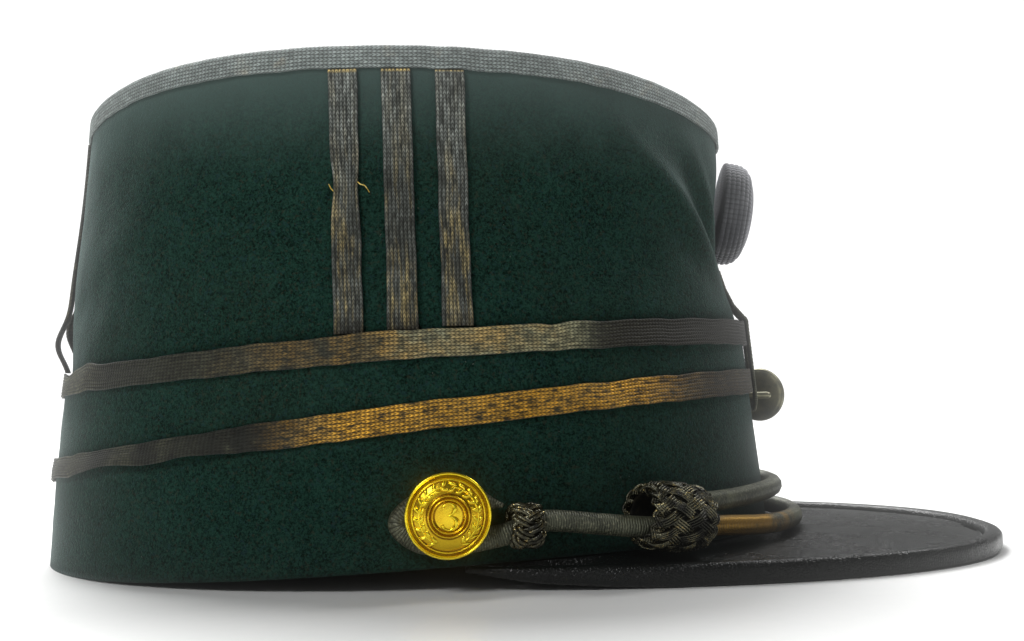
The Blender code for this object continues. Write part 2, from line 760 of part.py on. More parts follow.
def make_knot(name, middle, along, long, radius, cutters, cord):
    """A barrel of plaited cord, with a hole for each cord that runs into it."""
    steps = 8
    profile = []
    for i in range(steps + 1):
        turn = math.pi * i / steps
        profile.append((radius * math.sin(turn) ** 0.7 if 0 < i < steps else 0.0, -long / 2 * math.cos(turn)))
    bm = bmesh.new()
    turned(bm, profile, place_along(middle, along), 16)
    knot = finish(name, bm, cord)
    for cutter in cutters:
        cut = knot.modifiers.new(cutter.name, "BOOLEAN")
        cut.operation = "DIFFERENCE"
        cut.object = cutter
    return knot


def forward(side, angle):
    """The level direction along the wall towards the front, at an angle on one side."""
    behind, ahead = on_wall(math.radians(angle + 2), 0.0), on_wall(math.radians(angle - 2), 0.0)
    step = (ahead - behind).normalized()
    return Vector((step.x, side * step.y, 0))


def make_chin_cords(cord):
    """The two cords, the knot that ends each one's eye, and the slides, which lie between the band and the peak."""
    cords = {
        "right": {"side": RIGHT, "rows": CORD_START + LOW_RUN},
        "left": {"side": LEFT, "rows": CORD_START + HIGH_RUN},
    }
    for word, run in cords.items():
        make_chin_cord(f"chin_cord_{word}", chin_cord_points(run["side"], run["rows"]), cord)
        run["cutter"] = make_cutter(f"room_{word}", chin_cord_points(run["side"], after_eye(run["rows"])), cord)
    radius = CORD_DIAMETER / 2
    for word, other in (("right", "left"), ("left", "right")):
        own, end = cords[word], cords[other]
        at = cord_at(own["side"], own["rows"], KNOT_ANGLE)
        along = forward(own["side"], KNOT_ANGLE)
        make_knot(f"cord_knot_{word}", at, along, KNOT_LENGTH, radius + KNOT_WALL, [own["cutter"]], cord)
        slide_radius = 2 * radius + SLIDE_WALL
        turn = own["side"] * math.radians(SLIDE_ANGLE)
        at = on_wall(turn, RIM_RISE + slide_radius, slide_radius + 2 * GAP)
        along = forward(own["side"], SLIDE_ANGLE) - Vector((0, 0, SLIDE_DROP))
        both = [own["cutter"], end["cutter"]]
        make_knot(f"cord_slide_{word}", at, along, SLIDE_LENGTH, slide_radius, both, cord)


def main():
    clear_scene()
    cloth = material("green_cloth", (0.012, 0.040, 0.032), 0.95)
    lace = material("tarnished_lace", (0.13, 0.12, 0.09), 0.55, 0.5)
    cord = material("gold_cord", (0.12, 0.10, 0.05), 0.5, 0.5)
    boss = material("cockade_cord", (0.06, 0.055, 0.06), 0.8)
    brass = material("gilt_brass", (0.80, 0.55, 0.08), 0.25, 1.0)
    leather = material("black_leather", (0.012, 0.013, 0.014), 0.45)
    make_headband(cloth)
    make_crown(cloth)
    make_tip(cloth)
    make_edge_lace(lace)
    make_ring_lace("upper_lace", UPPER_LACE, lace)
    make_ring_lace("lower_lace", LOWER_LACE, lace)
    for side, word in ((RIGHT, "right"), (LEFT, "left")):
        make_side_stripes(side, word, lace)
        make_side_button(side, word, brass)
    make_back_stripes(lace)
    make_peak(leather)
    make_binding(leather)
    make_cockade(boss)
    make_cockade_loop(cord)
    make_front_button(brass)
    make_chin_cords(cord)


main()
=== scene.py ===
"""The looks of a shako: felted green cloth, tarnished gold lace, plaited cord, gilt buttons and a leather peak.

Metres, +Z up. The peak points to +X and the wearer's left is +Y. The forms below are first worked out round the
middle of the headband and are then moved to the middle of the whole hat, as the frame has it.
"""

import math

import bmesh
import bpy
from mathutils import Matrix, Vector, noise


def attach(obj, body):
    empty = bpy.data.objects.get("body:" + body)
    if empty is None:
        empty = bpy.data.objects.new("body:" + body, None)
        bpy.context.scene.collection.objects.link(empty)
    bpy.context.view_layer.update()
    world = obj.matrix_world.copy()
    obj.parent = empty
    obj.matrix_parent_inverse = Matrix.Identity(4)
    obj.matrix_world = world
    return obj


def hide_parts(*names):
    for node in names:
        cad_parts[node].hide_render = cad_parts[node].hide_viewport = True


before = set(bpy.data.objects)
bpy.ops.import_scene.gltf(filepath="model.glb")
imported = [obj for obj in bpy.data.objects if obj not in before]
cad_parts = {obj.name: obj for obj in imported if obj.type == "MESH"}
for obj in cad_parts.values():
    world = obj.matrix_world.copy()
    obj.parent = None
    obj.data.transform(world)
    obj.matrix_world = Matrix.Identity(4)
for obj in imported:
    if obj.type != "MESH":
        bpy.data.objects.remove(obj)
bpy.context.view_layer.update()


def table(names, *rows):
    """Rows of values under their names, each as a dict."""
    return [dict(zip(names.split(), row)) for row in rows]


# The hat's walls, as in the frame.
BAND_LENGTH = 0.204
BAND_WIDTH = 0.1688
BAND_WALL = 0.0030
CROWN_WALL = 0.0020
CROWN_SET_IN = 0.0012
WALL_LEAN = 0.1131
WALL_EASING = 0.0147
BACK_LEAN = 0.010
BACK_SWELL = 0.0007
SWELL_TOP = 0.056
GAP = 0.0003
TOP_EDGE = {"mean": 0.1264, "tilt": -0.0015, "saddle": -0.0047, "corners": -0.0008}
UPPER_LACE = {"mean": 0.0556, "tilt": 0.0059, "saddle": -0.0011}
LOWER_LACE = {"mean": 0.0378, "tilt": 0.0110, "saddle": -0.0017}
RIM_RISE = 0.0070
RIM_FLAT_TO = 150.0
RIM_FULL_AT = 55.0
TIP_THICKNESS = 0.0020
TIP_SAG = 0.0022
ORIGIN_X = 0.0633 / 2
RIGHT, LEFT = -1, 1
SIDES = ((RIGHT, "right"), (LEFT, "left"))
WELD = 1e-7
# How many rows and columns each sheet has, and how uneven the cloth is, as (size of a wave, its depth).
GRIDS = {"headband": (280, 56), "crown": (300, 84), "tip": (160, 64), "peak": (200, 96), "binding": (420, 28)}
BAND_WAVES = ((0.022, 0.00035), (0.006, 0.00010))
CROWN_WAVES = ((0.020, 0.00045), (0.007, 0.00016))
TIP_WAVES = ((0.025, 0.00025),)
PEAK_WAVES = ((0.030, 0.00022),)

# Lace and its knitted columns of stitches.
LACE_WIDTH = 0.0068
LACE_THICKNESS = 0.0008
EDGE_LACE_DROP = 0.0058
EDGE_LACE_LAP = 0.0050
STRIPE_WIDTH = 0.0072
STRIPE_PITCH = 0.0129
SIDE_STRIPES_X = 0.0041
STRIPE_LEAN = 0.018
STITCH = 0.00105
STITCH_SLANT = 0.75
LACE_COLUMNS = 8
EDGE_LACE_COLUMNS = 12
LACE_FACE_SHARE = 0.84
LACE_EDGE_SHARE = 0.02
# Rows for each stitch, and columns of faces round a lace's crossing.
LACE_GRIDS = {"ring": (3, 30), "edge": (2, 52), "stripe": (3, 37)}
RING_LACE_LENGTH = 0.575
EDGE_LACE_LENGTH = 0.545
EDGE_LACE_BEND = 0.0011
RIB_DEPTH = 0.00018
GILT_THREAD = (0.95, 0.50, 0.055)
RING_LACE_BARE = ((0.13, 0.137, 0.085), (0.52, 0.52, 0.32))

# Loose thread ends beside the first stripe: distance from its middle, height and distance off the cloth.
THREAD_RADIUS = 0.00016
LOOSE_THREADS = (
    (
        (-0.0028, 0.0943, 0.0006), (-0.0034, 0.0950, 0.0009), (-0.0038, 0.0957, 0.0008),
        (-0.0041, 0.0962, 0.0005),
    ),
    (
        (0.0030, 0.0965, 0.0006), (0.0038, 0.0958, 0.0010), (0.0047, 0.0955, 0.0009),
        (0.0053, 0.0947, 0.0005), (0.0058, 0.0938, 0.0003),
    ),
)

# Peak.
PEAK_REACH = 0.0633
PEAK_FLARE = 0.0009
PEAK_SHOULDER = 0.353
PEAK_SQUARENESS = 2.31
PEAK_THICKNESS = 0.0022
PEAK_EDGE_DROP = 0.0008
EAR_REACH = 0.019
EAR_TUCK = 0.0045
EAR_TURN = 75.0
EAR_SHARE = 0.15
BINDING_WIDTH = 0.0050
BINDING_HEIGHT = 0.0056
BINDING_SQUARENESS = 0.62
BINDING_PUCKERS = ((0.0022, 0.00010), (0.009, 0.00016))
EAR_HEIGHT = 0.0016
EAR_WIDTH = 0.0026
PLATE_REACH = 0.90
GROOVE_IN = 0.0016
GROOVE_DEPTH = 0.00045
GROOVE_WIDTH = 0.00035

# Buttons, cockade and cords.
SIDE_BUTTON_RADIUS = 0.0100
SIDE_BUTTON_ANGLE = 82.3
SIDE_BUTTON_HEIGHT = 0.0181
SIDE_SHANK_HEIGHT = 0.0157
SIDE_BUTTON_SLACK = 0.0014
SIDE_BUTTON_DEPTH = 0.0046
FRONT_BUTTON_RADIUS = 0.0080
FRONT_BUTTON_DROP = 0.0045
FRONT_BUTTON_ANGLE = 8.0
FRONT_BUTTON_OUT = 0.0065
FRONT_BUTTON_DEPTH = 0.0036
FRONT_BUTTON_SWING = 59.0
SHANK_RADIUS = 0.0010
# The face of a button from its rim inwards, as (share of the radius, share of the depth), and the dirty
# grooves between its rings, as (share of the radius, half width).
BUTTON_FACE = (
    (0.955, 0.26), (0.985, 0.34), (0.975, 0.44), (0.940, 0.47), (0.905, 0.38), (0.880, 0.33), (0.855, 0.40),
    (0.835, 0.51), (0.812, 0.525), (0.785, 0.45), (0.700, 0.575), (0.600, 0.680), (0.530, 0.735), (0.500, 0.76),
    (0.480, 0.875), (0.455, 0.905), (0.435, 0.83), (0.415, 0.775), (0.395, 0.86), (0.370, 0.905), (0.345, 0.82),
    (0.330, 0.755), (0.20, 0.775), (0.08, 0.785),
)
BUTTON_GROOVES = ((0.880, 0.026), (0.785, 0.020), (0.505, 0.024), (0.415, 0.018), (0.325, 0.022))
# The wreath: leaves on each branch, where the first one stands, the step to the next one in degrees, and each
# row's share of the radius and lean. The numeral stands at a share of the depth.
WREATH = {"leaves": 9, "start": -58, "step": 17.5}
WREATH_ROWS = ((0.730, 38), (0.605, -34))
STEM = {"points": 25, "start": -66, "step": 6.3, "share": 0.668, "thickness": 0.024}
BUTTON_SIDES = 80
NUMERAL_SIZE = 0.60
NUMERAL_LEVEL = 0.785
NUMERAL_PROUD = 1.5
COCKADE_HEIGHT = 0.0298
COCKADE_WIDTH = 0.0270
COCKADE_DEPTH = 0.0103
COCKADE_LEVEL = 0.606
COCKADE_SEAT = 0.0018
COCKADE_TILT = 9.0
COCKADE_RIBS = 7
COCKADE_RIB_DEPTH = 0.00045
COCKADE_BEAD = 0.0015
COCKADE_SIDES = 128
COCKADE_DOME = (4.5, 1.9)
COCKADE_TOP = 0.97
COCKADE_MIDDLE = 0.42
COCKADE_MIDDLE_RING = 0.012
COCKADE_BEADS = 64
LOOP_CORD_WIDTH = 0.0032
LOOP_CORD_THICKNESS = 0.0010
LOOP_SPREAD = 0.0062
LOOP_START = 0.0022
CORD_DIAMETER = 0.0052
CORD_RIB = 0.00062
CORD_RIB_DEPTH = 0.00008
KNOT_ANGLE = 72.7
KNOT_LENGTH = 0.0076
KNOT_WALL = 0.0025
SLIDE_ANGLE = 52.2
SLIDE_LENGTH = 0.0190
SLIDE_WALL = 0.0031
SLIDE_DROP = 0.12

# Folds and dents of the crown, on both sides alike.
FOLD_DEPTH = 0.0052
FOLDS = table(
    "angle level width tall out slant",
    (0.0, 0.38, 27.0, 0.285, -1.0, 0.0),
    (34.0, 0.49, 6.0, 0.30, 0.62, 60.0),
    (24.5, 0.52, 5.0, 0.25, -0.30, 44.0),
    (18.5, 0.52, 3.6, 0.24, 0.35, 39.0),
    (52.0, 0.29, 12.0, 0.27, -0.29, 40.0),
    (74.0, 0.42, 13.0, 0.31, -0.19, 0.0),
    (112.0, 0.555, 12.0, 0.16, -0.33, -38.0),
    (132.0, 0.43, 16.0, 0.16, 0.33, -38.0),
    (148.0, 0.29, 14.0, 0.12, -0.33, -38.0),
    (168.0, 0.25, 28.0, 0.33, 0.375, 0.0),
)

# Where the ring laces are crumpled: degrees from the front, on both sides, and what each place does.
UPPER_CRUMPLES = table(
    "angle width narrow shift lift curl",
    (92.0, 5.0, -0.06, 0.0004, 0.0003),
    (66.0, 1.6, 0.05, -0.0003, 0.0004),
    (128.0, 8.0, 0.06, 0.0, 0.0002, 0.0005),
    (146.0, 4.0, -0.08, 0.0006, 0.0005),
    (157.0, 5.0, 0.20, -0.0008, 0.0003, 0.0006),
)
LOWER_CRUMPLES = table(
    "angle width narrow shift lift curl",
    (118.0, 7.0, 0.24, 0.0007, 0.0005, 0.0012),
    (136.0, 9.0, 0.36, 0.0010, 0.0006, 0.0015),
    (156.0, 9.0, 0.20, 0.0004, 0.0005, 0.0006),
    (60.0, 5.0, 0.04, 0.0, 0.0002),
)

STRIPE_SLACK = 0.0034
BACK_STRIPES = table(
    "name place slack level tall",
    ("back_stripe_right", -1, 1.0, 0.15, 0.085),
    ("back_stripe_middle", 0, 0.8, 0.21, 0.080),
    ("back_stripe_left", 1, 0.6, 0.17, 0.085),
)
LOOP_ROUTE = table(
    "down out",
    (0.0, -1.22),
    (0.15, -0.98),
    (0.28, -0.62),
    (0.40, 0.02),
    (0.645, 0.02),
    (0.81, 0.02),
    (1.0, 0.02),
)

# The chin cords' routes, as in the frame: angle from the front on the cord's own side, distance out from the
# wall and height.
CORD_START = (
    (75.0, 0.0042, 0.0196), (76.2, 0.0036, 0.0200), (79.4, 0.0031, 0.0209), (82.8, 0.0031, 0.0211),
    (86.1, 0.0031, 0.0202), (88.4, 0.0031, 0.0161), (86.1, 0.0031, 0.0121), (82.8, 0.0031, 0.0113),
    (79.4, 0.0031, 0.0116), (76.2, 0.0036, 0.0126), (73.8, 0.0048, 0.0138), (71.4, 0.0054, 0.0156),
    (68.4, 0.0056, 0.0158), (62.0, 0.0068, 0.0145), (55.6, 0.0088, 0.0133),
)
LOW_RUN = (
    (44.4, 0.0088, 0.0122), (30.0, 0.0080, 0.0104), (15.0, 0.0077, 0.0096), (0.0, 0.0076, 0.0096),
    (-15.0, 0.0077, 0.0096), (-30.0, 0.0082, 0.0100), (-42.0, 0.0086, 0.0108), (-47.0, 0.0090, 0.0113),
)
HIGH_RUN = (
    (44.4, 0.0070, 0.0172), (30.0, 0.0038, 0.0176), (15.0, 0.0032, 0.0178), (0.0, 0.0031, 0.0178),
    (-15.0, 0.0032, 0.0178), (-30.0, 0.0038, 0.0176), (-42.0, 0.0066, 0.0177), (-47.0, 0.0074, 0.0182),
)
CORD_TURN_BACK = 8
CORD_STEPS = 8
CORD_RUNS = (("right", RIGHT, CORD_START + LOW_RUN), ("left", LEFT, CORD_START + HIGH_RUN))
PLAIT_STEPS = 18
PLAIT_BELLY = 0.75
BARREL_STEPS = 16
BARREL_SIDES = 32
KNOT_PLAIT = {"leads": 3, "bights": 10, "strands": 2, "thread": 0.00105, "weave_depth": 0.00055}
SLIDE_PLAIT = {"leads": 7, "bights": 12, "strands": 4, "thread": 0.00066, "weave_depth": 0.00042}

# Camera, room and light.
CAMERA_AT = Vector((0.0294 - ORIGIN_X, -0.400, 0.0488))
CAMERA_RISE = 2.42
CAMERA_ROLL = -1.0
PHOTO_WIDTH = 1024
FOCUS_IN_PIXELS = 1369
SENSOR = 36.0
ROOM_LIGHT = 0.10
SEEN_WALL = 1.06
FLOOR_RADIUS = 0.95
GLOW = {"Threshold": 0.35, "Strength": 0.28, "Size": 0.38, "Smoothness": 0.1}
LIGHTS = table(
    "name at towards size power",
    ("window", (-0.55, 1.25, 1.75), (0, 0, 0.03), 1.5, 78.0),
    ("ceiling", (0.1, 1.05, 1.35), (0, 0, 0), 1.0, 11.0),
    ("lamp", (-0.75, -1.05, 1.05), (0, 0, 0.05), 0.60, 10.5),
    ("low_front", (0.15, -1.6, 0.33), (0, 0, 0.06), 0.9, 1.0),
    ("side", (0.95, 0.50, 1.10), (0.05, 0, 0.09), 0.5, 7.0),
)


def ease(share):
    share = min(1.0, max(0.0, share))
    return share * share * (3 - 2 * share)


def bell(value, middle, width):
    return math.exp(-((value - middle) / width) ** 2)


def level(heights, angle):
    """The height of a ring that is tilted and saddled."""
    height = heights["mean"] + heights["tilt"] * math.cos(angle) + heights["saddle"] * math.cos(2 * angle)
    return height + heights.get("corners", 0.0) * math.cos(4 * angle)


def from_front(angle):
    return abs(math.degrees(math.atan2(math.sin(angle), math.cos(angle))))


def rim_level(angle):
    return RIM_RISE * ease((RIM_FLAT_TO - from_front(angle)) / (RIM_FLAT_TO - RIM_FULL_AT))


def lean_in(height):
    return height * (WALL_LEAN - WALL_EASING * height / TOP_EDGE["mean"])


def half_length(height):
    return BAND_LENGTH / 2 - lean_in(height)


def half_width(height):
    return BAND_WIDTH / 2 - lean_in(height)


def outward(angle, height):
    return Vector((math.cos(angle) / half_length(height), math.sin(angle) / half_width(height), 0)).normalized()


def on_wall(angle, height, out=0.0):
    base = Vector((half_length(height) * math.cos(angle), half_width(height) * math.sin(angle), height))
    backward = (1 - math.cos(angle)) / 2
    base.x -= BACK_LEAN * height * backward
    swell = BACK_SWELL * backward * math.sin(math.pi * min(1.0, max(0.0, height / SWELL_TOP)))
    return base + outward(angle, height) * (out + swell)


def crown_share(angle, height):
    low, high = level(UPPER_LACE, angle), level(TOP_EDGE, angle)
    return (height - low) / (high - low)


def crown_height(angle, share):
    low, high = level(UPPER_LACE, angle), level(TOP_EDGE, angle)
    return low + (high - low) * share


def crown_relief(angle, height):
    side = from_front(angle)
    share = crown_share(angle, height)
    out = 0.0
    for fold in FOLDS:
        middle = fold["angle"] + fold["slant"] * (share - fold["level"])
        along = (share - fold["level"]) / fold["tall"]
        weight = 0.5 if fold["angle"] == 0 else 1.0
        for seen_from in (side, -side):
            across = (seen_from - middle) / fold["width"]
            out += weight * FOLD_DEPTH * fold["out"] * math.exp(-across * across - along * along)
    return out * ease(share / 0.25) * ease((1 - share) / 0.12) - CROWN_SET_IN


def on_crown(angle, height, out=0.0):
    return on_wall(angle, height, out + crown_relief(angle, height))


def crown_top(angle):
    return level(TOP_EDGE, angle) - LACE_THICKNESS - GAP


def place_along(origin, direction):
    """The matrix that lays the X axis along a direction and keeps Z as near upright as it can."""
    along = direction.normalized()
    across = Vector((0, 0, 1)).cross(along).normalized()
    turn = Matrix((along, across, along.cross(across))).transposed().to_4x4()
    return Matrix.Translation(origin) @ turn


class Wire:
    """A socket of a material that can be used in sums."""

    def __init__(self, finish, socket):
        self.finish = finish
        self.socket = socket

    def maths(self, operation, *values):
        return self.finish.add("ShaderNodeMath", {"operation": operation}, dict(enumerate(values)))

    def __add__(self, other):
        return self.maths("ADD", self, other)

    def __sub__(self, other):
        return self.maths("SUBTRACT", self, other)

    def __rsub__(self, other):
        return self.maths("SUBTRACT", other, self)

    def __mul__(self, other):
        return self.maths("MULTIPLY", self, other)

    def __truediv__(self, other):
        return self.maths("DIVIDE", self, other)

    def __pow__(self, other):
        return self.maths("POWER", self, other)

    __radd__ = __add__
    __rmul__ = __mul__

    def size(self):
        return self.maths("ABSOLUTE", self)

    def fraction(self):
        return self.maths("FRACT", self)

    def zigzag(self):
        """0 in the middle of each whole number's stretch and 1 at its ends."""
        return (self.fraction() * 2 - 1).size()

    def between(self, low, high):
        """0 below low, 1 above high and smooth in the middle."""
        inputs = {"Value": self, "From Min": low, "From Max": high}
        return self.finish.add("ShaderNodeMapRange", {"interpolation_type": "SMOOTHSTEP"}, inputs)

    def within(self, start, full, fading, gone):
        """1 from full to fading, and 0 before the start and once it is gone."""
        return self.between(start, full) * (1 - self.between(fading, gone))


class Finish:
    """One material: its node tree, and short ways to add nodes to it."""

    def __init__(self, name, **constants):
        self.made = bpy.data.materials.new(name)
        self.made.use_nodes = True
        self.tree = self.made.node_tree
        self.shader = self.tree.nodes["Principled BSDF"]
        for socket, value in constants.items():
            self.shader.inputs[socket.replace("_", " ")].default_value = value
        self.place = self.add("ShaderNodeTexCoord", output="Object")

    def add(self, kind, settings=None, inputs=None, output=0):
        """Any node: its settings first, then the values or links of its sockets."""
        node = self.tree.nodes.new(kind)
        for name, value in (settings or {}).items():
            setattr(node, name, value)
        for name, value in (inputs or {}).items():
            if isinstance(value, Wire):
                self.tree.links.new(value.socket, node.inputs[name])
            else:
                node.inputs[name].default_value = value
        return Wire(self, node.outputs[output])

    def noise(self, size, detail=2.0, roughness=0.5, at=None, distortion=0.0):
        """Soft cloudy noise whose blotches are about that size in metres."""
        inputs = {"Vector": at or self.place, "Scale": 1.0 / size, "Detail": detail, "Roughness": roughness}
        return self.add("ShaderNodeTexNoise", None, {**inputs, "Distortion": distortion})

    def mix(self, share, low, high):
        low = (*low, 1.0) if isinstance(low, tuple) else low
        high = (*high, 1.0) if isinstance(high, tuple) else high
        inputs = {0: share, 6: low, 7: high}
        return self.add("ShaderNodeMix", {"data_type": "RGBA"}, inputs, output=2)

    def far(self, axis, vector=None):
        """How far a point is along an axis of the hat, or of another vector."""
        return self.add("ShaderNodeSeparateXYZ", None, {0: vector or self.place}, output=axis)

    def weave(self):
        """How far along and across the lace or cord a point is, in metres."""
        spot = self.add("ShaderNodeTexCoord", output="UV")
        return self.far("X", spot), self.far("Y", spot)

    def bump(self, height, depth, strength=1.0, after=None):
        inputs = {"Height": height, "Distance": depth, "Strength": strength}
        if after:
            inputs["Normal"] = after
        return self.add("ShaderNodeBump", None, inputs)

    def paint(self, **sockets):
        for name, wire in sockets.items():
            self.tree.links.new(wire.socket, self.shader.inputs[name.replace("_", " ")])
        return self.made


def green_cloth(name, painted_top_haze):
    """Felted wool: short crossed fibres in many greens, with lint. Its second argument says how much paler its
    top edge is painted, as painted haze of the light from above.
    """
    sheen = {"Sheen_Weight": 0.30, "Sheen_Roughness": 0.35, "Sheen_Tint": (0.66, 0.80, 0.79, 1.0)}
    finish = Finish(name, Specular_IOR_Level=0.05, **sheen)
    fibres = finish.noise(0.00055, detail=2.0, roughness=0.6, distortion=0.8)
    tufts = finish.noise(0.0013, detail=2.0, roughness=0.6)
    mottle = finish.noise(0.009, detail=4.0, roughness=0.55)
    worn = finish.noise(0.05, detail=2.0)
    light = fibres.between(0.36, 0.64) * 0.6 + tufts.between(0.35, 0.65) * 0.25
    light = light + mottle.between(0.3, 0.7) * 0.15
    colour = finish.mix(light, (0.0006, 0.0038, 0.0023), (0.0135, 0.0465, 0.0330))
    dust = finish.noise(0.0009, detail=1.0).between(0.58, 0.72) * 0.40 + worn.between(0.5, 0.75) * 0.10
    colour = finish.mix(dust, colour, (0.0300, 0.0290, 0.0190))
    cool = finish.noise(0.0011, detail=1.0, distortion=1.0).between(0.58, 0.70) * 0.45
    colour = finish.mix(cool, colour, (0.0110, 0.0310, 0.0350))
    # Painted haze: the cloth is painted paler towards its top edge, standing in for the light from above.
    height = finish.far("Z") + (mottle - 0.5) * 0.006
    colour = finish.mix(height.between(0.093, 0.1265) ** 1.6 * painted_top_haze, colour, (0.0620, 0.0980, 0.0890))
    lint = finish.noise(0.0022, detail=2.0, roughness=0.75, distortion=2.0).between(0.745, 0.775)
    colour = finish.mix(lint * 0.6, colour, (0.12, 0.13, 0.11))
    normal = finish.bump(fibres * 0.6 + tufts * 0.4, 0.00040, 0.8)
    return finish.paint(Base_Color=colour, Roughness=0.86 + fibres * 0.12, Normal=normal)


def knit_height(finish, along, across, columns, width):
    """The stitches of knitted lace: columns of small Vs. Returns how raised a point is, from 0 to 1, and a
    number between 0 and 1 that each stitch has for itself."""
    column = across * (columns / width)
    off_middle = (column.fraction() - 0.5).size() * 2
    wave = along / STITCH + off_middle * STITCH_SLANT
    thread = 1 - wave.zigzag() ** 2.0
    rounded = 1 - off_middle ** 4.0
    cell = {"X": column.maths("FLOOR", column), "Y": wave.maths("FLOOR", wave)}
    cell = finish.add("ShaderNodeCombineXYZ", None, cell)
    return rounded * (0.25 + 0.75 * thread), finish.add("ShaderNodeTexWhiteNoise", None, {"Vector": cell})


def streaks(finish, size=0.0010, stretch=0.28):
    """Noise drawn out along the lace's columns of stitches, other for each lace."""
    along, across = finish.weave()
    spot = {"X": along * stretch, "Y": across, "Z": finish.far("X") * 0.3}
    return finish.noise(size, detail=3.0, roughness=0.65, at=finish.add("ShaderNodeCombineXYZ", None, spot))


def lace(
    name, gold, silver, soil=None, columns=LACE_COLUMNS, width=LACE_WIDTH, gap_shade=0.62, bare=RING_LACE_BARE,
    gilt=GILT_THREAD,
):
    """Knitted metal thread, tarnished. Gold and silver say where the metal shows, with painted highlights on
    the crests of the stitches and painted light on some stretches and on the stripes' tops; soil says where it
    is brown with dirt.
    Bare is its darkest and lightest bare metal, gilt is its gold, and the gap shade is the painted shade
    between stitches."""
    sheen = {"Sheen_Weight": 0.08, "Sheen_Roughness": 0.35, "Sheen_Tint": (0.80, 0.84, 0.84, 1.0)}
    finish = Finish(name, Specular_IOR_Level=0.3, **sheen)
    along, across = finish.weave()
    raised, own = knit_height(finish, along, across, columns, width)
    tarnish = finish.noise(0.011, detail=4.0, roughness=0.6)
    specks = finish.noise(0.0005, detail=2.0, roughness=0.6)
    worn = streaks(finish)
    dulled = tarnish.between(0.3, 0.7) * 0.6 + own * 0.4
    grey = finish.mix(dulled, (0.0080, 0.0085, 0.0060), (0.0300, 0.0320, 0.0250))
    metal_shown = finish.mix(0.35 * own + 0.65 * worn.between(0.35, 0.65), *bare)
    # Painted highlight: the crests of the stitches are painted brighter silver and gilt, over real bare metal.
    crest = raised.between(0.40, 0.95)
    metal_and_painted_light = silver(finish) * (0.55 + 0.20 * own + 0.25 * worn) * (0.30 + 0.70 * crest)
    colour = finish.mix(metal_and_painted_light, grey, metal_shown)
    shine = gold(finish) * (0.35 * own + 0.65 * worn.between(0.36, 0.58)) * (0.35 + 0.65 * crest)
    colour = finish.mix(shine, colour, gilt)
    # Painted shade: darker between the stitches.
    colour = finish.mix((1 - raised).between(0.35, 1.0) * gap_shade, colour, (0.008, 0.009, 0.007))
    if soil:
        colour = finish.mix(soil(finish), colour, (0.0110, 0.0085, 0.0048))
    normal = finish.bump(raised + specks * 0.15, 0.00020, 0.9)
    return finish.paint(
        Base_Color=colour, Metallic=0.25 + 0.45 * shine, Roughness=0.56 - 0.2 * shine, Normal=normal
    )


def scattered(finish, size, low, high):
    return finish.noise(size, detail=3.0, roughness=0.6, distortion=0.4).between(low, high)


def stripe_lace():
    """Silver-grey, painted brighter high up as painted haze of the light from above and duller low down, with
    frayed gold at the top end.
    """
    def gold(finish):
        z = finish.far("Z")
        fray = z.between(0.1232, 0.1238)
        low = 1 - z.between(0.080, 0.112)
        return fray * 0.9 + (0.12 + 0.40 * low) * streaks(finish, 0.0022, 0.12).between(0.46, 0.66)

    def silver(finish):
        # Painted haze: the silver is painted brighter towards the top, standing in for the light from above.
        metal_and_painted_light = 0.42 + 0.58 * finish.far("Z").between(0.078, 0.122)
        return metal_and_painted_light * (0.45 + 0.55 * scattered(finish, 0.016, 0.30, 0.62))

    def soil(finish):
        return (1 - finish.far("Z").between(0.058, 0.067)) * 0.75

    bare = ((0.090, 0.100, 0.090), (0.46, 0.500, 0.460))
    gilt = (0.80, 0.60, 0.20)
    return lace("stripe_lace", gold, silver, soil, width=STRIPE_WIDTH, gap_shade=0.50, bare=bare, gilt=gilt)


def upper_lace():
    def silver(finish):
        x = finish.far("X")
        # Painted light: the stretch that catches the light is painted brighter silver, over real bare metal.
        lit = x.within(-0.040, -0.018, 0.012, 0.020)
        left = (1 - x.between(-0.120, -0.105)) * 0.35
        rest = (0.10 * x.between(-0.105, -0.060) * (1 - x.between(0.02, 0.04)) + left) * (1 - lit)
        return lit * (0.55 + 0.45 * scattered(finish, 0.018, 0.30, 0.55)) + rest + 0.05

    def gold(finish):
        # Painted light: gilt is painted along the stretch that catches the light, over real gilt.
        lit = finish.far("X").within(-0.085, -0.020, 0.0, 0.018)
        return lit * scattered(finish, 0.010, 0.35, 0.65) * 0.45

    def soil(finish):
        x = finish.far("X")
        return x.between(0.014, 0.026) * 0.62 + (1 - x.between(-0.125, -0.100)) * 0.25

    return lace("upper_lace", gold, silver, soil)


def lower_lace():
    def silver(finish):
        left = (1 - finish.far("X").between(-0.120, -0.105)) * 0.30
        return left * 0.7 + scattered(finish, 0.012, 0.40, 0.68) * 0.25

    def gold(finish):
        x = finish.far("X")
        # Painted light: gilt is painted along the stretch that catches the light, over real gilt.
        lit = x.between(-0.066, -0.034) * (1 - x.between(0.022, 0.050) * 0.88)
        return lit * (0.80 + 0.20 * scattered(finish, 0.014, 0.32, 0.60))

    def soil(finish):
        x = finish.far("X")
        return x.between(0.025, 0.055) * 0.62 + (1 - x.between(-0.125, -0.100)) * 0.45

    return lace("lower_lace", gold, silver, soil)


def edge_lace():
    # Partly painted haze: this lace's silver and bare metal are painted paler than the other laces', standing
    # in for the light from above on the top edge.
    def silver(finish):
        return 0.75 + scattered(finish, 0.018, 0.35, 0.6) * 0.25

    def gold(finish):
        return scattered(finish, 0.009, 0.60, 0.78) * 0.15

    bare = ((0.30, 0.355, 0.340), (0.46, 0.530, 0.510))
    width = EDGE_LACE_DROP + EDGE_LACE_LAP
    return lace("edge_lace", gold, silver, columns=EDGE_LACE_COLUMNS, width=width, gap_shade=0.30, bare=bare)


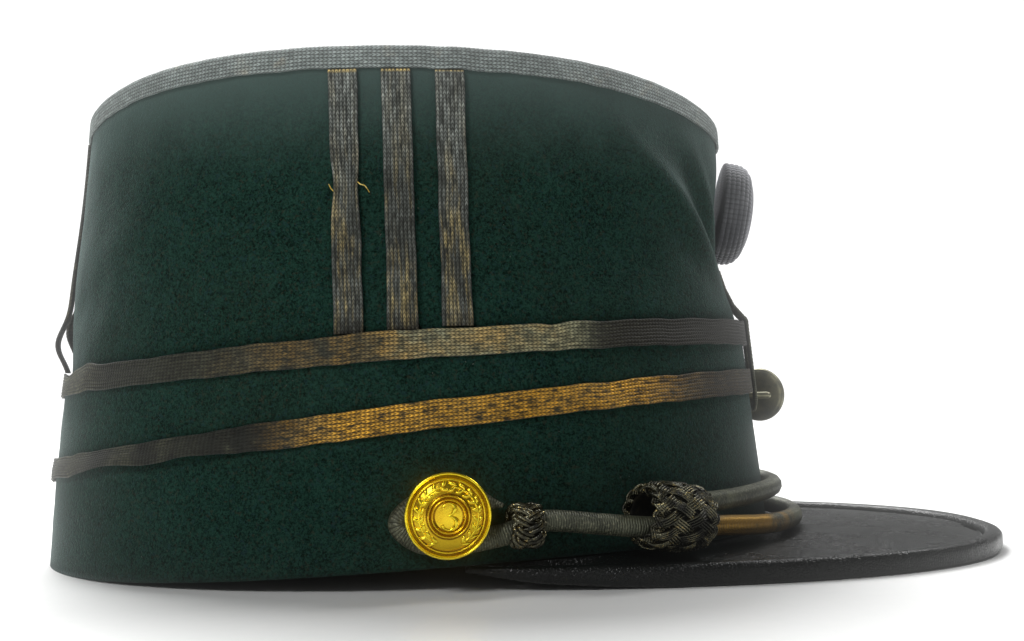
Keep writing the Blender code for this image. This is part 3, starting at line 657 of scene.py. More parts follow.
def cord_cover():
    """Gold thread wound close round a core, worn dark, with bright stretches where it was sheltered and painted
    shade between its turns.
    """
    finish = Finish("cord_cover", Specular_IOR_Level=0.5)
    along, across = finish.weave()
    turns = 1 - (along / CORD_RIB + across * 60).zigzag() ** 2.0
    dirt = finish.noise(0.007, detail=4.0, roughness=0.6)
    specks = finish.noise(0.0007, detail=2.0)
    low = 1 - finish.far("Z").between(0.0135, 0.0155)
    sheltered = finish.far("X").within(0.040, 0.050, 0.064, 0.074) * low
    bright = sheltered * dirt.between(0.3, 0.5) + dirt.between(0.62, 0.8) * 0.25
    colour = finish.mix(dirt.between(0.3, 0.7), (0.030, 0.034, 0.022), (0.105, 0.112, 0.072))
    colour = finish.mix(specks.between(0.48, 0.70) * 0.7, colour, (0.21, 0.21, 0.14))
    colour = finish.mix(bright * (0.5 + 0.5 * specks), colour, (0.50, 0.27, 0.030))
    # Painted shade: darker between the turns of thread.
    colour = finish.mix((1 - turns).between(0.4, 1.0) * 0.85, colour, (0.006, 0.006, 0.004))
    normal = finish.bump(turns + specks * 0.3, 0.00015, 0.9)
    return finish.paint(
        Base_Color=colour, Metallic=0.35 + 0.4 * bright, Roughness=0.5 - 0.15 * bright, Normal=normal
    )


def plait_strand():
    """The plaits' strands: wire-bright where they are rubbed, with painted shade in the grooves of their twist.
    """
    finish = Finish("plait_strand", Specular_IOR_Level=0.6)
    along, across = finish.weave()
    twist = (along / 0.0006 + across * 900).zigzag()
    worn = finish.noise(0.004, detail=3.0, roughness=0.6)
    specks = finish.noise(0.0006, detail=1.0)
    colour = finish.mix(worn.between(0.35, 0.65), (0.015, 0.015, 0.011), (0.150, 0.145, 0.095))
    colour = finish.mix(specks.between(0.55, 0.70) * worn.between(0.42, 0.58), colour, (0.42, 0.32, 0.12))
    # Painted shade: darker in the grooves of the twist.
    colour = finish.mix((1 - twist).between(0.55, 1.0) * 0.55, colour, (0.006, 0.006, 0.005))
    normal = finish.bump(twist + specks * 0.3, 0.00006, 0.6)
    return finish.paint(
        Base_Color=colour, Metallic=0.65 + 0.3 * worn, Roughness=0.30 - 0.1 * specks, Normal=normal
    )


def knot_core():
    """What shows between the strands of a plait: a core painted near-black as the shade between the strands,
    with old dust.
    """
    finish = Finish("knot_core", Specular_IOR_Level=0.2)
    dust = finish.noise(0.0012, detail=3.0, roughness=0.6)
    # Painted shade: the core is kept near-black, for the shade between the strands.
    colour = finish.mix(dust.between(0.4, 0.75), (0.0025, 0.0025, 0.0020), (0.022, 0.018, 0.010))
    return finish.paint(Base_Color=colour, Roughness=0.8 + 0.15 * dust, Normal=finish.bump(dust, 0.0002, 0.6))


def grooves(finish):
    """1 in the dirty grooves between a button's rings and 0 elsewhere."""
    out = finish.weave()[0]
    found = [1 - ((out - middle).size() / half).between(0.5, 1.0) for middle, half in BUTTON_GROOVES]
    return sum(found[1:], found[0])


def gilt_brass():
    """Stamped brass, gilt and polished: bright where it is raised, painted darker orange-brown on the ground
    between as painted shade over duller gilt, and with old polish in its grooves."""
    finish = Finish("gilt_brass", Specular_IOR_Level=0.5)
    wear = finish.noise(0.0035, detail=4.0, roughness=0.6)
    pits = finish.noise(0.00035, detail=2.0)
    out, rise = finish.weave()
    colour = finish.mix(wear.between(0.35, 0.75), (1.0, 0.80, 0.045), (0.93, 0.65, 0.038))
    # Painted shade: the ground between the raised leaves and figure is painted darker orange-brown, over duller
    # gilt.
    ground = rise.between(0.10, 0.20) * (1 - out.between(0.79, 0.83))
    colour = finish.mix(ground * (0.30 + 0.40 * wear), colour, (0.62, 0.32, 0.012))
    colour = finish.mix(pits.between(0.62, 0.75) * 0.35, colour, (0.36, 0.17, 0.02))
    colour = finish.mix(grooves(finish) * (0.65 + 0.3 * wear), colour, (0.20, 0.075, 0.008))
    normal = finish.bump(pits, 0.00003, 0.5)
    return finish.paint(
        Base_Color=colour, Metallic=1.0 - 0.05 * pits, Roughness=0.20 + 0.12 * wear, Normal=normal
    )


def dull_brass():
    """The front button's back, which was never polished."""
    finish = Finish("dull_brass", Specular_IOR_Level=0.5)
    stain = finish.noise(0.004, detail=4.0, roughness=0.65)
    colour = finish.mix(stain.between(0.3, 0.7), (0.150, 0.150, 0.105), (0.36, 0.34, 0.21))
    normal = finish.bump(stain, 0.00005, 0.5)
    return finish.paint(
        Base_Color=colour, Metallic=0.75 - 0.2 * stain, Roughness=0.34 + 0.2 * stain, Normal=normal
    )


def black_leather():
    """Glossy black leather with a fine grain, smudged and scuffed."""
    finish = Finish("black_leather", Specular_IOR_Level=0.24)
    grain = {"Vector": finish.place, "Scale": 1300.0, "Randomness": 1.0}
    grain = finish.add("ShaderNodeTexVoronoi", {"feature": "DISTANCE_TO_EDGE"}, grain)
    smudge = finish.noise(0.018, detail=4.0, roughness=0.6)
    scuffs = finish.noise(0.0012, detail=4.0, roughness=0.7, distortion=1.5)
    colour = finish.mix(smudge.between(0.35, 0.75), (0.0016, 0.0022, 0.0020), (0.0050, 0.0064, 0.0058))
    colour = finish.mix(scuffs.between(0.64, 0.76) * 0.35, colour, (0.040, 0.043, 0.037))
    normal = finish.bump(grain.between(0.0, 0.22) + scuffs * 0.3, 0.00008, 0.8)
    rough = 0.18 + 0.20 * smudge + 0.15 * scuffs.between(0.5, 0.8)
    return finish.paint(Base_Color=colour, Roughness=rough, Normal=normal)


def cockade_cord():
    """Cord wound in rings, each turn a small bead, painted paler towards the top as haze of the light from
    above, with painted shade between the beads.
    """
    sheen = {"Sheen_Weight": 0.6, "Sheen_Roughness": 0.4, "Sheen_Tint": (0.82, 0.82, 0.88, 1.0)}
    finish = Finish("cockade_cord", Specular_IOR_Level=0.3, **sheen)
    bead = (finish.weave()[0] / COCKADE_BEAD).zigzag()
    worn = finish.noise(0.005, detail=4.0, roughness=0.6)
    fuzz = finish.noise(0.0006, detail=2.0, roughness=0.7)
    # Painted haze: the cord is painted paler towards the top, standing in for the light from above.
    painted_top_haze = finish.far("Z").between(0.082, 0.118)
    colour = finish.mix(worn.between(0.3, 0.7), (0.040, 0.042, 0.050), (0.105, 0.108, 0.116))
    colour = finish.mix(painted_top_haze * 0.6, colour, (0.20, 0.21, 0.215))
    # Painted shade: darker between the beads.
    colour = finish.mix(bead.between(0.55, 1.0) * 0.45, colour, (0.016, 0.017, 0.020))
    normal = finish.bump(1 - bead * bead + fuzz * 0.5, 0.00022, 0.8)
    return finish.paint(Base_Color=colour, Roughness=0.72 + 0.15 * worn, Normal=normal)


def gold_thread():
    """Loose ends where the lace was cut, still bright inside."""
    finish = Finish("gold_thread", Metallic=0.4)
    age = finish.noise(0.0012, detail=2.0)
    colour = finish.mix(age.between(0.35, 0.65), (0.50, 0.34, 0.05), (0.80, 0.66, 0.22))
    return finish.paint(Base_Color=colour, Roughness=0.38 + 0.2 * age)


def settle(name, bm, finish, slot, *nodes, second=None):
    """A finished mesh as a piece of the hat, in the place of the nodes that it stands for. A second finish is
    for the faces of material index 1."""
    mesh = bpy.data.meshes.new(name)
    bmesh.ops.recalc_face_normals(bm, faces=bm.faces)
    bmesh.ops.translate(bm, verts=bm.verts, vec=(-ORIGIN_X, 0, 0))
    bm.to_mesh(mesh)
    bm.free()
    mesh.shade_smooth()
    for coat in (finish, second):
        if coat:
            mesh.materials.append(coat)
    piece = bpy.data.objects.new(name, mesh)
    bpy.context.scene.collection.objects.link(piece)
    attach(piece, "root")
    if nodes:
        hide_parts(*nodes)
    return piece


def sheet(rows, columns, place, size=(1.0, 1.0)):
    """A fine grid laid on a shape. Place turns (share along, share across) into a point, and size is its width
    along and across in metres, for the weave. Edges that meet are welded, so it may close on itself."""
    bm = bmesh.new()
    weave = bm.loops.layers.uv.new("weave")
    bmesh.ops.create_grid(bm, x_segments=rows, y_segments=columns, size=1.0, calc_uvs=True)
    for face in bm.faces:
        for loop in face.loops:
            along, across = loop[weave].uv
            loop[weave].uv = (along * size[0], across * size[1])
    for vert in bm.verts:
        vert.co = place((vert.co.x + 1) / 2, (vert.co.y + 1) / 2)
    bmesh.ops.remove_doubles(bm, verts=bm.verts, dist=WELD)
    return bm


def close_ends(bm):
    bmesh.ops.holes_fill(bm, edges=[edge for edge in bm.edges if edge.is_boundary])
    return bm


def add_mesh(bm, extra, coat=0):
    """Adds a bmesh to another one, in the first or the second of the piece's finishes."""
    for face in extra.faces:
        face.material_index = coat
    mesh = bpy.data.meshes.new("part")
    extra.to_mesh(mesh)
    extra.free()
    bm.from_mesh(mesh)
    bpy.data.meshes.remove(mesh)


def smooth_line(spots, steps):
    """A smooth line through points, with that many pieces from each one to the next."""
    points = []
    for i in range(len(spots) - 1):
        before, here, there = spots[max(i - 1, 0)], spots[i], spots[i + 1]
        after = spots[min(i + 2, len(spots) - 1)]
        for step in range(steps):
            t = step / steps
            bend = (2 * before - 5 * here + 4 * there - after) * t * t
            bend += (3 * here - before - 3 * there + after) * t ** 3
            points.append(here + ((there - before) * t + bend) / 2)
    points.append(spots[-1])
    return points


def evenly(points, step):
    """The same line with its points about a step apart."""
    lengths = [0.0]
    for here, there in zip(points, points[1:]):
        lengths.append(lengths[-1] + (there - here).length)
    count = max(2, round(lengths[-1] / step))
    made, at = [], 0
    for i in range(count + 1):
        wanted = lengths[-1] * i / count
        while at < len(points) - 2 and lengths[at + 1] < wanted:
            at += 1
        span = lengths[at + 1] - lengths[at]
        made.append(points[at].lerp(points[at + 1], (wanted - lengths[at]) / span if span else 0.0))
    return made


def frames_along(points, up):
    """For each point of a line, its direction and two directions square to it, turned as little as can be."""
    frames = []
    side = None
    for i, point in enumerate(points):
        along = (points[min(i + 1, len(points) - 1)] - points[max(i - 1, 0)]).normalized()
        if side is None:
            side = up.cross(along).normalized()
        side = (side - along * side.dot(along)).normalized()
        frames.append((point, along, side, along.cross(side)))
    return frames


def rod(points, sides, radius, up=Vector((0, 0, 1))):
    """A round rod along close points, closed at its ends. Radius takes (share along, turn, metres along)."""
    frames = frames_along(points, up)
    length = sum((there - here).length for here, there in zip(points, points[1:]))
    last = len(frames) - 1

    def place(along, around):
        row = round(along * last)
        point, direction, side, normal = frames[row]
        turn = 2 * math.pi * around
        if row in (0, last):
            return point.copy()
        wide = radius(along, turn, along * length)
        return point + side * (wide * math.cos(turn)) + normal * (wide * math.sin(turn))

    around_size = 2 * math.pi * radius(0.5, 0.0, 0.0)
    return sheet(last, sides, place, (length, around_size))


def cloth_waves(point, waves):
    return sum(depth * noise.noise(Vector(point) / size) for size, depth in waves)


def ring_wave(angle, size, row, depth):
    """Noise that meets itself round the hat, with about that many waves. Each row is another one."""
    return depth * noise.noise(Vector((math.cos(angle) * size, math.sin(angle) * size, row)))


def wall_section(across):
    """Round a wall's crossing: up its face, over its edge and down inside. Returns (share of height, depth)."""
    face, edge = 0.47, 0.03
    if across < face:
        return across / face, 0.0
    if across < face + edge:
        return 1.0, (across - face) / edge
    if across < 2 * face + edge:
        return 1.0 - (across - face - edge) / face, 1.0
    return 0.0, 1.0 - (across - 2 * face - edge) / edge


def make_headband(cloth):
    def place(along, across):
        angle = 2 * math.pi * along
        low, high = rim_level(angle), level(UPPER_LACE, angle) - GAP / 2
        share, depth = wall_section(across)
        height = low + (high - low) * share
        out = cloth_waves(on_wall(angle, height), BAND_WAVES)
        return on_wall(angle, height, out * ease(share / 0.1) - depth * BAND_WALL)

    settle("cloth_headband", sheet(*GRIDS["headband"], place), cloth, "green_cloth", "headband")


def make_crown(cloth):
    def place(along, across):
        angle = 2 * math.pi * along
        low, high = level(UPPER_LACE, angle) + GAP / 2, crown_top(angle)
        share, depth = wall_section(across)
        height = low + (high - low) * share
        out = cloth_waves(on_wall(angle, height), CROWN_WAVES)
        return on_crown(angle, height, out * ease(share / 0.1) * ease((1 - share) / 0.1) - depth * CROWN_WALL)

    settle("cloth_crown", sheet(*GRIDS["crown"], place), cloth, "green_cloth", "crown")


def tip_point(angle, share, drop):
    edge = on_crown(angle, crown_top(angle), -CROWN_WALL - GAP)
    saddle = TOP_EDGE["mean"] + share * TOP_EDGE["tilt"] * math.cos(angle)
    saddle += share * share * TOP_EDGE["saddle"] * math.cos(2 * angle)
    saddle += share ** 4 * TOP_EDGE["corners"] * math.cos(4 * angle)
    height = saddle - LACE_THICKNESS - GAP - TIP_SAG * (1 - share * share) - drop
    return Vector((edge.x * share, edge.y * share, height))


def make_tip(cloth):
    def place(along, across):
        share, depth = wall_section(across)
        point = tip_point(2 * math.pi * along, share, depth * TIP_THICKNESS)
        point.z += cloth_waves((point.x, point.y, 0.0), TIP_WAVES)
        return point

    settle("cloth_tip", sheet(*GRIDS["tip"], place), cloth, "green_cloth", "tip")


def knit_relief(along, across, columns):
    """How raised lace is at metres along and a share across: rounded columns of V stitches, from 0 to 1."""
    column = across * columns
    off_middle = abs(column - math.floor(column) - 0.5) * 2
    wave = (along / STITCH + off_middle * STITCH_SLANT) % 1.0
    return (1 - off_middle ** 4) * (0.45 + 0.55 * (1 - (2 * wave - 1) ** 2))


def lace_section(across):
    """Round a flat lace's crossing: (share across, 1 on its face or 0 on its back)."""
    face, edge = LACE_FACE_SHARE, LACE_EDGE_SHARE
    back = 1 - face - 2 * edge
    if across <= face:
        return across / face, 1.0
    if across < face + edge:
        return 1.0, 1.0 - (across - face) / edge
    if across < face + edge + back:
        return 1.0 - (across - face - edge) / back, 0.0
    return 0.0, (across - face - edge - back) / edge


def make_ring_lace(name, heights, finish, crumples):
    """A lace sewn round the hat. Each crumple narrows, shifts, lifts or curls it at an angle from the front."""
    stitches = round(RING_LACE_LENGTH / STITCH)
    round_the_hat = stitches * STITCH

    def place(along, across):
        angle = 2 * math.pi * along
        side = from_front(angle)
        share, face = lace_section(across)
        wide = 1 + ring_wave(angle, 9, 3, 0.05)
        shift = ring_wave(angle, 14, 7, 0.00035)
        lift = 0.0
        for crumple in crumples:
            near = bell(side, crumple["angle"], crumple["width"])
            wide -= crumple["narrow"] * near
            shift += crumple["shift"] * near
            lift += crumple["lift"] * near * math.sin(math.pi * share)
            lift += crumple.get("curl", 0.0) * near * (1 - share) ** 2
        height = level(heights, angle) + shift + LACE_WIDTH * wide * (share - 0.5)
        ribs = knit_relief(along * round_the_hat, share, LACE_COLUMNS)
        out = GAP + face * (LACE_THICKNESS - RIB_DEPTH + RIB_DEPTH * ribs + lift)
        return on_wall(angle, height, out)

    rows, columns = LACE_GRIDS["ring"]
    bm = sheet(rows * stitches, columns, place, (round_the_hat, LACE_WIDTH / LACE_FACE_SHARE))
    settle(f"woven_{name}", bm, finish, "tarnished_lace", name)


def make_edge_lace(finish):
    """The lace over the top edge: up the outside, rounded over the edge and in over the tip."""
    stitches = round(EDGE_LACE_LENGTH / STITCH)
    round_the_hat, bend = stitches * STITCH, EDGE_LACE_BEND
    lap, drop = EDGE_LACE_LAP - 0.3 * bend, EDGE_LACE_DROP - bend
    total = lap + drop + bend * math.pi / 2

    def fold(share):
        """A point of the folded lace, as (out, rise, the direction in which its face looks)."""
        gone = share * total
        if gone < drop:
            return GAP + LACE_THICKNESS, gone - EDGE_LACE_DROP, 0.0
        if gone < drop + bend * math.pi / 2:
            turn = (gone - drop) / bend
            return GAP + LACE_THICKNESS - bend * (1 - math.cos(turn)), -bend * (1 - math.sin(turn)), turn
        return GAP + LACE_THICKNESS - bend - (gone - drop - bend * math.pi / 2), 0.0, math.pi / 2

    def place(along, across):
        angle = 2 * math.pi * along
        share, face = lace_section(across)
        out, rise, turn = fold(share)
        ribs = knit_relief(along * round_the_hat, share, EDGE_LACE_COLUMNS)
        wave = ring_wave(angle, 16, 1, 0.00030) * (1 - share)
        depth = (1 - face) * LACE_THICKNESS + face * RIB_DEPTH * (1 - ribs)
        out -= depth * math.cos(turn)
        rise -= depth * math.sin(turn) - wave
        top = level(TOP_EDGE, angle)
        if rise < -0.001:
            return on_crown(angle, top + rise, out)
        return on_crown(angle, top, out) + Vector((0, 0, rise))

    rows, columns = LACE_GRIDS["edge"]
    bm = sheet(rows * stitches, columns, place, (round_the_hat, total / LACE_FACE_SHARE))
    settle("woven_edge_lace", bm, finish, "tarnished_lace", "edge_lace")


def stripe_ends(angle):
    low = level(UPPER_LACE, angle) + LACE_WIDTH / 2 + GAP
    high = level(TOP_EDGE, angle) - EDGE_LACE_DROP - GAP
    return low, high


def make_stripe(name, angle_at, finish, seed, slack_at=None, narrow=(0.6, 0.0)):
    """An upright lace, cut straight at both ends. Angle_at gives its middle's angle at a height, slack_at how
    far it stands off the cloth, and narrow the share of its height where it is pinched and by how much."""
    low, high = stripe_ends(angle_at(level(UPPER_LACE, math.pi / 2)))

    def place(along, across):
        height = low + (high - low) * along
        angle = angle_at(height)
        share, face = lace_section(across)
        wide = 1 + 0.035 * noise.noise(Vector((seed, along * 7, 0)))
        wide -= narrow[1] * bell(along, narrow[0], 0.09)
        shift = 0.00022 * noise.noise(Vector((seed, along * 6, 5)))
        slack = slack_at(angle, height) if slack_at else 0.0
        ribs = knit_relief(along * (high - low), share, LACE_COLUMNS)
        out = GAP + slack + face * (LACE_THICKNESS - RIB_DEPTH + RIB_DEPTH * ribs)
        facing = outward(angle, height)
        sideways = Vector((-facing.y, facing.x, 0))
        across_at = STRIPE_WIDTH * wide * (share - 0.5) + shift
        return on_crown(angle, height, out) + sideways * across_at

    rows, columns = LACE_GRIDS["stripe"]
    rows = round(rows * (high - low) / STITCH)
    bm = close_ends(sheet(rows, columns, place, (high - low, STRIPE_WIDTH / LACE_FACE_SHARE)))
    settle(f"woven_{name}", bm, finish, "tarnished_lace", name)


def make_stripes(finish):
    for side, word in SIDES:
        for number, place in enumerate((-1, 0, 1), start=1):
            x_low = SIDE_STRIPES_X + place * STRIPE_PITCH
            guess = side * math.acos(x_low / half_length(level(UPPER_LACE, math.pi / 2)))
            foot = level(UPPER_LACE, guess)

            def angle_at(height, side=side, x_low=x_low, foot=foot):
                return side * math.acos((x_low - STRIPE_LEAN * (height - foot)) / half_length(height))

            narrow = (0.55, 0.17) if number == 1 else (0.0, -0.05)
            make_stripe(f"{word}_stripe_{number}", angle_at, finish, number + 4 * side, narrow=narrow)
    for stripe in BACK_STRIPES:
        y = stripe["place"] * STRIPE_PITCH

        def angle_at(height, y=y):
            return math.pi - math.asin(y / half_width(height))

        def slack_at(angle, height, stripe=stripe):
            near = bell(crown_share(angle, height), stripe["level"], stripe["tall"])
            return STRIPE_SLACK * stripe["slack"] * near

        make_stripe(stripe["name"], angle_at, finish, 20 + stripe["place"], slack_at)


def make_loose_threads(finish):
    """Short ends of yellow thread that have come out beside the first stripe."""
    x_low = SIDE_STRIPES_X - STRIPE_PITCH
    foot = level(UPPER_LACE, math.pi / 2)
    whole = bmesh.new()
    for side in (RIGHT, LEFT):
        for spots in LOOSE_THREADS:
            line = []
            for across, height, out in spots:
                x = x_low - STRIPE_LEAN * (height - foot) + across
                angle = side * math.acos(x / half_length(height))
                line.append(on_crown(angle, height, GAP + out))
            line = evenly(smooth_line(line, 6), 0.0001)
            add_mesh(whole, rod(line, 6, lambda along, turn, far: THREAD_RADIUS * (1.1 - 0.4 * along)))
    settle("frayed_thread_ends", whole, finish, "tarnished_lace")


def peak_outline(share):
    side = math.copysign(1.0, share)
    shoulder, half = PEAK_SHOULDER * BAND_LENGTH / 2, BAND_WIDTH / 2 + PEAK_FLARE
    tip = BAND_LENGTH / 2 + PEAK_REACH
    along = abs(share) / (1 - EAR_SHARE)
    if along <= 1:
        turn = along * math.pi / 2
        power = 2 / PEAK_SQUARENESS
        x = shoulder + (tip - shoulder) * max(0.0, math.cos(turn)) ** power
        y = half * math.sin(turn) ** power
    else:
        turn = math.radians(EAR_TURN) * (abs(share) - (1 - EAR_SHARE)) / EAR_SHARE
        x = shoulder - EAR_REACH * math.sin(turn)
        y = half - EAR_TUCK * (1 - math.cos(turn))
    return Vector((x, side * y, 0))


def wall_angle(share):
    return share * math.acos(peak_outline(1.0).x / (BAND_LENGTH / 2))


def along_peak(along):
    """A share along the peak's outline, from -1 to 1, with its rows drawn together at the ears."""
    return math.sin(math.pi / 2 * (2 * along - 1))


def peak_inward(share):
    step = 0.004
    before, after = peak_outline(max(-1.0, share - step)), peak_outline(min(1.0, share + step))
    along = (after - before).normalized()
    return Vector((-along.y, along.x, 0))


def ear_share(share):
    return ease((abs(share) - (1 - 1.7 * EAR_SHARE)) / (1.7 * EAR_SHARE))


def binding_size(share):
    tuck = ear_share(share)
    width = BINDING_WIDTH + (EAR_WIDTH - BINDING_WIDTH) * tuck
    high = min(BINDING_HEIGHT, rim_level(wall_angle(share)) - GAP)
    tall = BINDING_HEIGHT + (EAR_HEIGHT - BINDING_HEIGHT) * tuck
    return width, high - tall if tuck else 0.0, high


def plate_point(share, across):
    """A point on the peak's top, from inside its rolled edge at 0 to under the headband at 1."""
    angle = wall_angle(share)
    width, low, high = binding_size(share)
    inward = peak_inward(share)
    outer = peak_outline(share) + inward * (width + GAP)
    seat = rim_level(angle) - GAP
    inner = on_wall(angle, seat, -BAND_WALL)
    seam = on_wall(angle, seat, 0.0006)
    inner.z = seam.z = 0
    edge = min(high - PEAK_EDGE_DROP, (low + high) / 2 + PEAK_THICKNESS / 2, seat)
    reach = (inner - outer).dot(inward)
    open_part = max(0.05, min(0.97, (seam - outer).dot(inward) / reach)) if reach > 0 else 1.0
    point = outer.lerp(inner, across)
    point.z = edge + (seat - edge) * min(1.0, across / open_part)
    return point, (point - outer).length


def make_peak(leather):
    def place(along, across):
        share = PLATE_REACH * along_peak(along)
        part, depth = wall_section(across)
        point, inside = plate_point(share, part ** 1.35)
        point.z -= depth * PEAK_THICKNESS
        if depth == 0.0:
            point.z -= GROOVE_DEPTH * bell(inside, GROOVE_IN, GROOVE_WIDTH)
            point.z += cloth_waves((point.x, point.y, 0.0), PEAK_WAVES) * ease(inside / 0.004)
        return point

    settle("leather_peak", close_ends(sheet(*GRIDS["peak"], place)), leather, "black_leather", "peak")


def make_binding(leather):
    def place(along, around):
        share = along_peak(along)
        width, low, high = binding_size(share)
        edge, inward = peak_outline(share), peak_inward(share)
        if along in (0.0, 1.0):
            return edge + inward * width / 2 + Vector((0, 0, (low + high) / 2))
        turn = 2 * math.pi * around
        round_part = (math.cos(turn), math.sin(turn))
        squared = [math.copysign(abs(part) ** BINDING_SQUARENESS, part) for part in round_part]
        point = edge + inward * (width / 2 * (1 + squared[0]))
        point.z = (low + high) / 2 + (high - low) / 2 * squared[1]
        pucker = cloth_waves(point, BINDING_PUCKERS)
        return point - inward * pucker * math.cos(turn) * (1 - ear_share(share))

    settle("leather_binding", sheet(*GRIDS["binding"], place), leather, "black_leather", "peak_binding")


def spun(profile, sides, place):
    """Spins (radius, reach) pairs about the X axis of a place."""
    bm = bmesh.new()
    start = [bm.verts.new((reach, radius, 0)) for radius, reach in profile]
    edges = [bm.edges.new(pair) for pair in zip(start, start[1:])]
    turn = {"axis": (1, 0, 0), "cent": (0, 0, 0), "angle": 2 * math.pi, "steps": sides, "use_merge": True}
    bmesh.ops.spin(bm, geom=start + edges, **turn)
    bmesh.ops.remove_doubles(bm, verts=bm.verts, dist=WELD)
    bmesh.ops.transform(bm, matrix=place, verts=bm.verts)
    return bm


def rounded(spots, steps=4):
    """A profile with its corners eased, through (radius, reach) pairs."""
    line = smooth_line([Vector((*spot, 0)) for spot in spots], steps)
    return [(max(0.0, point.x), point.y) for point in line]


def button_face_reach(share):
    """How far out the button's face is, as a share of its depth, at a share of its radius."""
    for (wide, low), (narrow, high) in zip(BUTTON_FACE, BUTTON_FACE[1:]):
        if narrow <= share <= wide:
            return low + (high - low) * (wide - share) / (wide - narrow)
    return BUTTON_FACE[-1][1]


def leaf(long, wide, tall):
    """A small pointed leaf on the XY plane, along X, with a raised midrib."""
    bm = bmesh.new()
    bmesh.ops.create_uvsphere(bm, u_segments=12, v_segments=6, radius=1.0)
    for vert in bm.verts:
        x, y, z = vert.co
        taper = (1 - x * x) ** 0.45 if abs(x) < 1 else 0.0
        crease = 0.35 * math.exp(-(y / 0.28) ** 2) * (1 - abs(x))
        vert.co = (x * long / 2, y * taper * wide / 2 + 0.12 * wide * math.sin(3 * x), (z + crease) * tall)
    return bm


def numeral_three(size):
    """A plain figure 3 with ball ends, drawn with one stroke. Returns its line and half widths."""
    spots = (
        (-0.20, 0.30, 0.075), (-0.16, 0.42, 0.055), (0.02, 0.50, 0.045), (0.21, 0.40, 0.085),
        (0.22, 0.22, 0.095), (0.08, 0.07, 0.045), (-0.03, 0.03, 0.035), (0.12, 0.00, 0.050),
        (0.29, -0.16, 0.105), (0.25, -0.38, 0.090), (0.03, -0.50, 0.045), (-0.20, -0.42, 0.055),
        (-0.25, -0.30, 0.080),
    )
    line = smooth_line([Vector(spot) for spot in spots], 5)
    return [Vector((p.x * size, p.y * size, 0)) for p in line], [p.z * size for p in line]


def on_button(place, radius, depth, right, up, proud=0.0):
    """A point on the face of a button, right and up of its middle as seen from outside."""
    share = math.hypot(right, up) / radius
    return place @ Vector((button_face_reach(share) * depth + proud, right, up))


def add_face_relief(bm, place, radius, depth):
    """The wreath and the figure of a button, raised from its face."""
    normal = place.to_3x3() @ Vector((1, 0, 0))
    for branch in (-1, 1):
        for i in range(WREATH["leaves"]):
            turn = math.radians(WREATH["start"] + WREATH["step"] * i)
            for across, lean in WREATH_ROWS:
                out = radius * across
                right, up = branch * out * math.cos(turn), out * math.sin(turn)
                direction = math.atan2(math.cos(turn), -branch * math.sin(turn)) - branch * math.radians(lean)
                tiny = leaf(radius * 0.23, radius * 0.105, depth * 0.085)
                spin = Matrix.Rotation(direction, 4, "Z")
                slope = math.atan2(0.30 * depth, 0.30 * radius)
                tilt = Matrix.Rotation(slope, 4, Vector((-up, right, 0)).normalized())
                stand = Matrix(((0, 0, 1, 0), (1, 0, 0, 0), (0, 1, 0, 0), (0, 0, 0, 1)))
                reach = button_face_reach(across) * depth
                spot = Matrix.Translation((reach, right, up))
                bmesh.ops.transform(tiny, matrix=place @ spot @ stand @ tilt @ spin, verts=tiny.verts)
                add_mesh(bm, tiny)
        stem = []
        for i in range(STEM["points"]):
            turn = math.radians(STEM["start"] + STEM["step"] * i)
            out = STEM["share"] * radius
            right, up = branch * out * math.cos(turn), out * math.sin(turn)
            stem.append(on_button(place, radius, depth, right, up, 0.0001))
        add_mesh(bm, rod(stem, 8, lambda along, turn, far: STEM["thickness"] * radius, normal))
    line, widths = numeral_three(radius * NUMERAL_SIZE)
    face = NUMERAL_LEVEL * depth
    points = [place @ Vector((face, p.x, p.y)) for p in line]
    last = len(points) - 1
    stroke = rod(points, 12, lambda along, turn, far: widths[round(along * last)], normal)
    for vert in stroke.verts:
        base = place.inverted() @ vert.co
        base.x = face + (base.x - face) * NUMERAL_PROUD
        vert.co = place @ base
    add_mesh(bm, stroke)


def button_body(radius, depth, place):
    """The stamped disc. Its weave map holds the share of the radius, for the dirt in its grooves, and the share
    of the depth, for the painted shade on its ground.
    """
    back = [(0.0, 0.0), (0.30 * radius, 0.0), (0.80 * radius, 0.02 * depth), (0.90 * radius, 0.10 * depth)]
    face = [(share * radius, reach * depth) for share, reach in BUTTON_FACE]
    spots = back + [(0.96 * radius, 0.14 * depth)] + face + [(0.0, 0.79 * depth)]
    bm = spun(rounded(spots, 3), BUTTON_SIDES, place)
    weave = bm.loops.layers.uv.new("weave")
    inverse = place.inverted()
    for face in bm.faces:
        for loop in face.loops:
            at = inverse @ loop.vert.co
            loop[weave].uv = (math.hypot(at.y, at.z) / radius, at.x / depth)
    return bm


def make_button(name, radius, depth, facing, shank_route, finish):
    back = shank_route[-1]
    place = place_along(back, facing)
    bm = button_body(radius, depth, place)
    add_face_relief(bm, place, radius, depth)
    line = evenly(smooth_line(shank_route + [back + facing.normalized() * depth * 0.3], 6), 0.0003)
    add_mesh(bm, rod(line, 12, lambda along, turn, far: SHANK_RADIUS))
    settle(f"stamped_{name}", bm, finish, "gilt_brass", name)


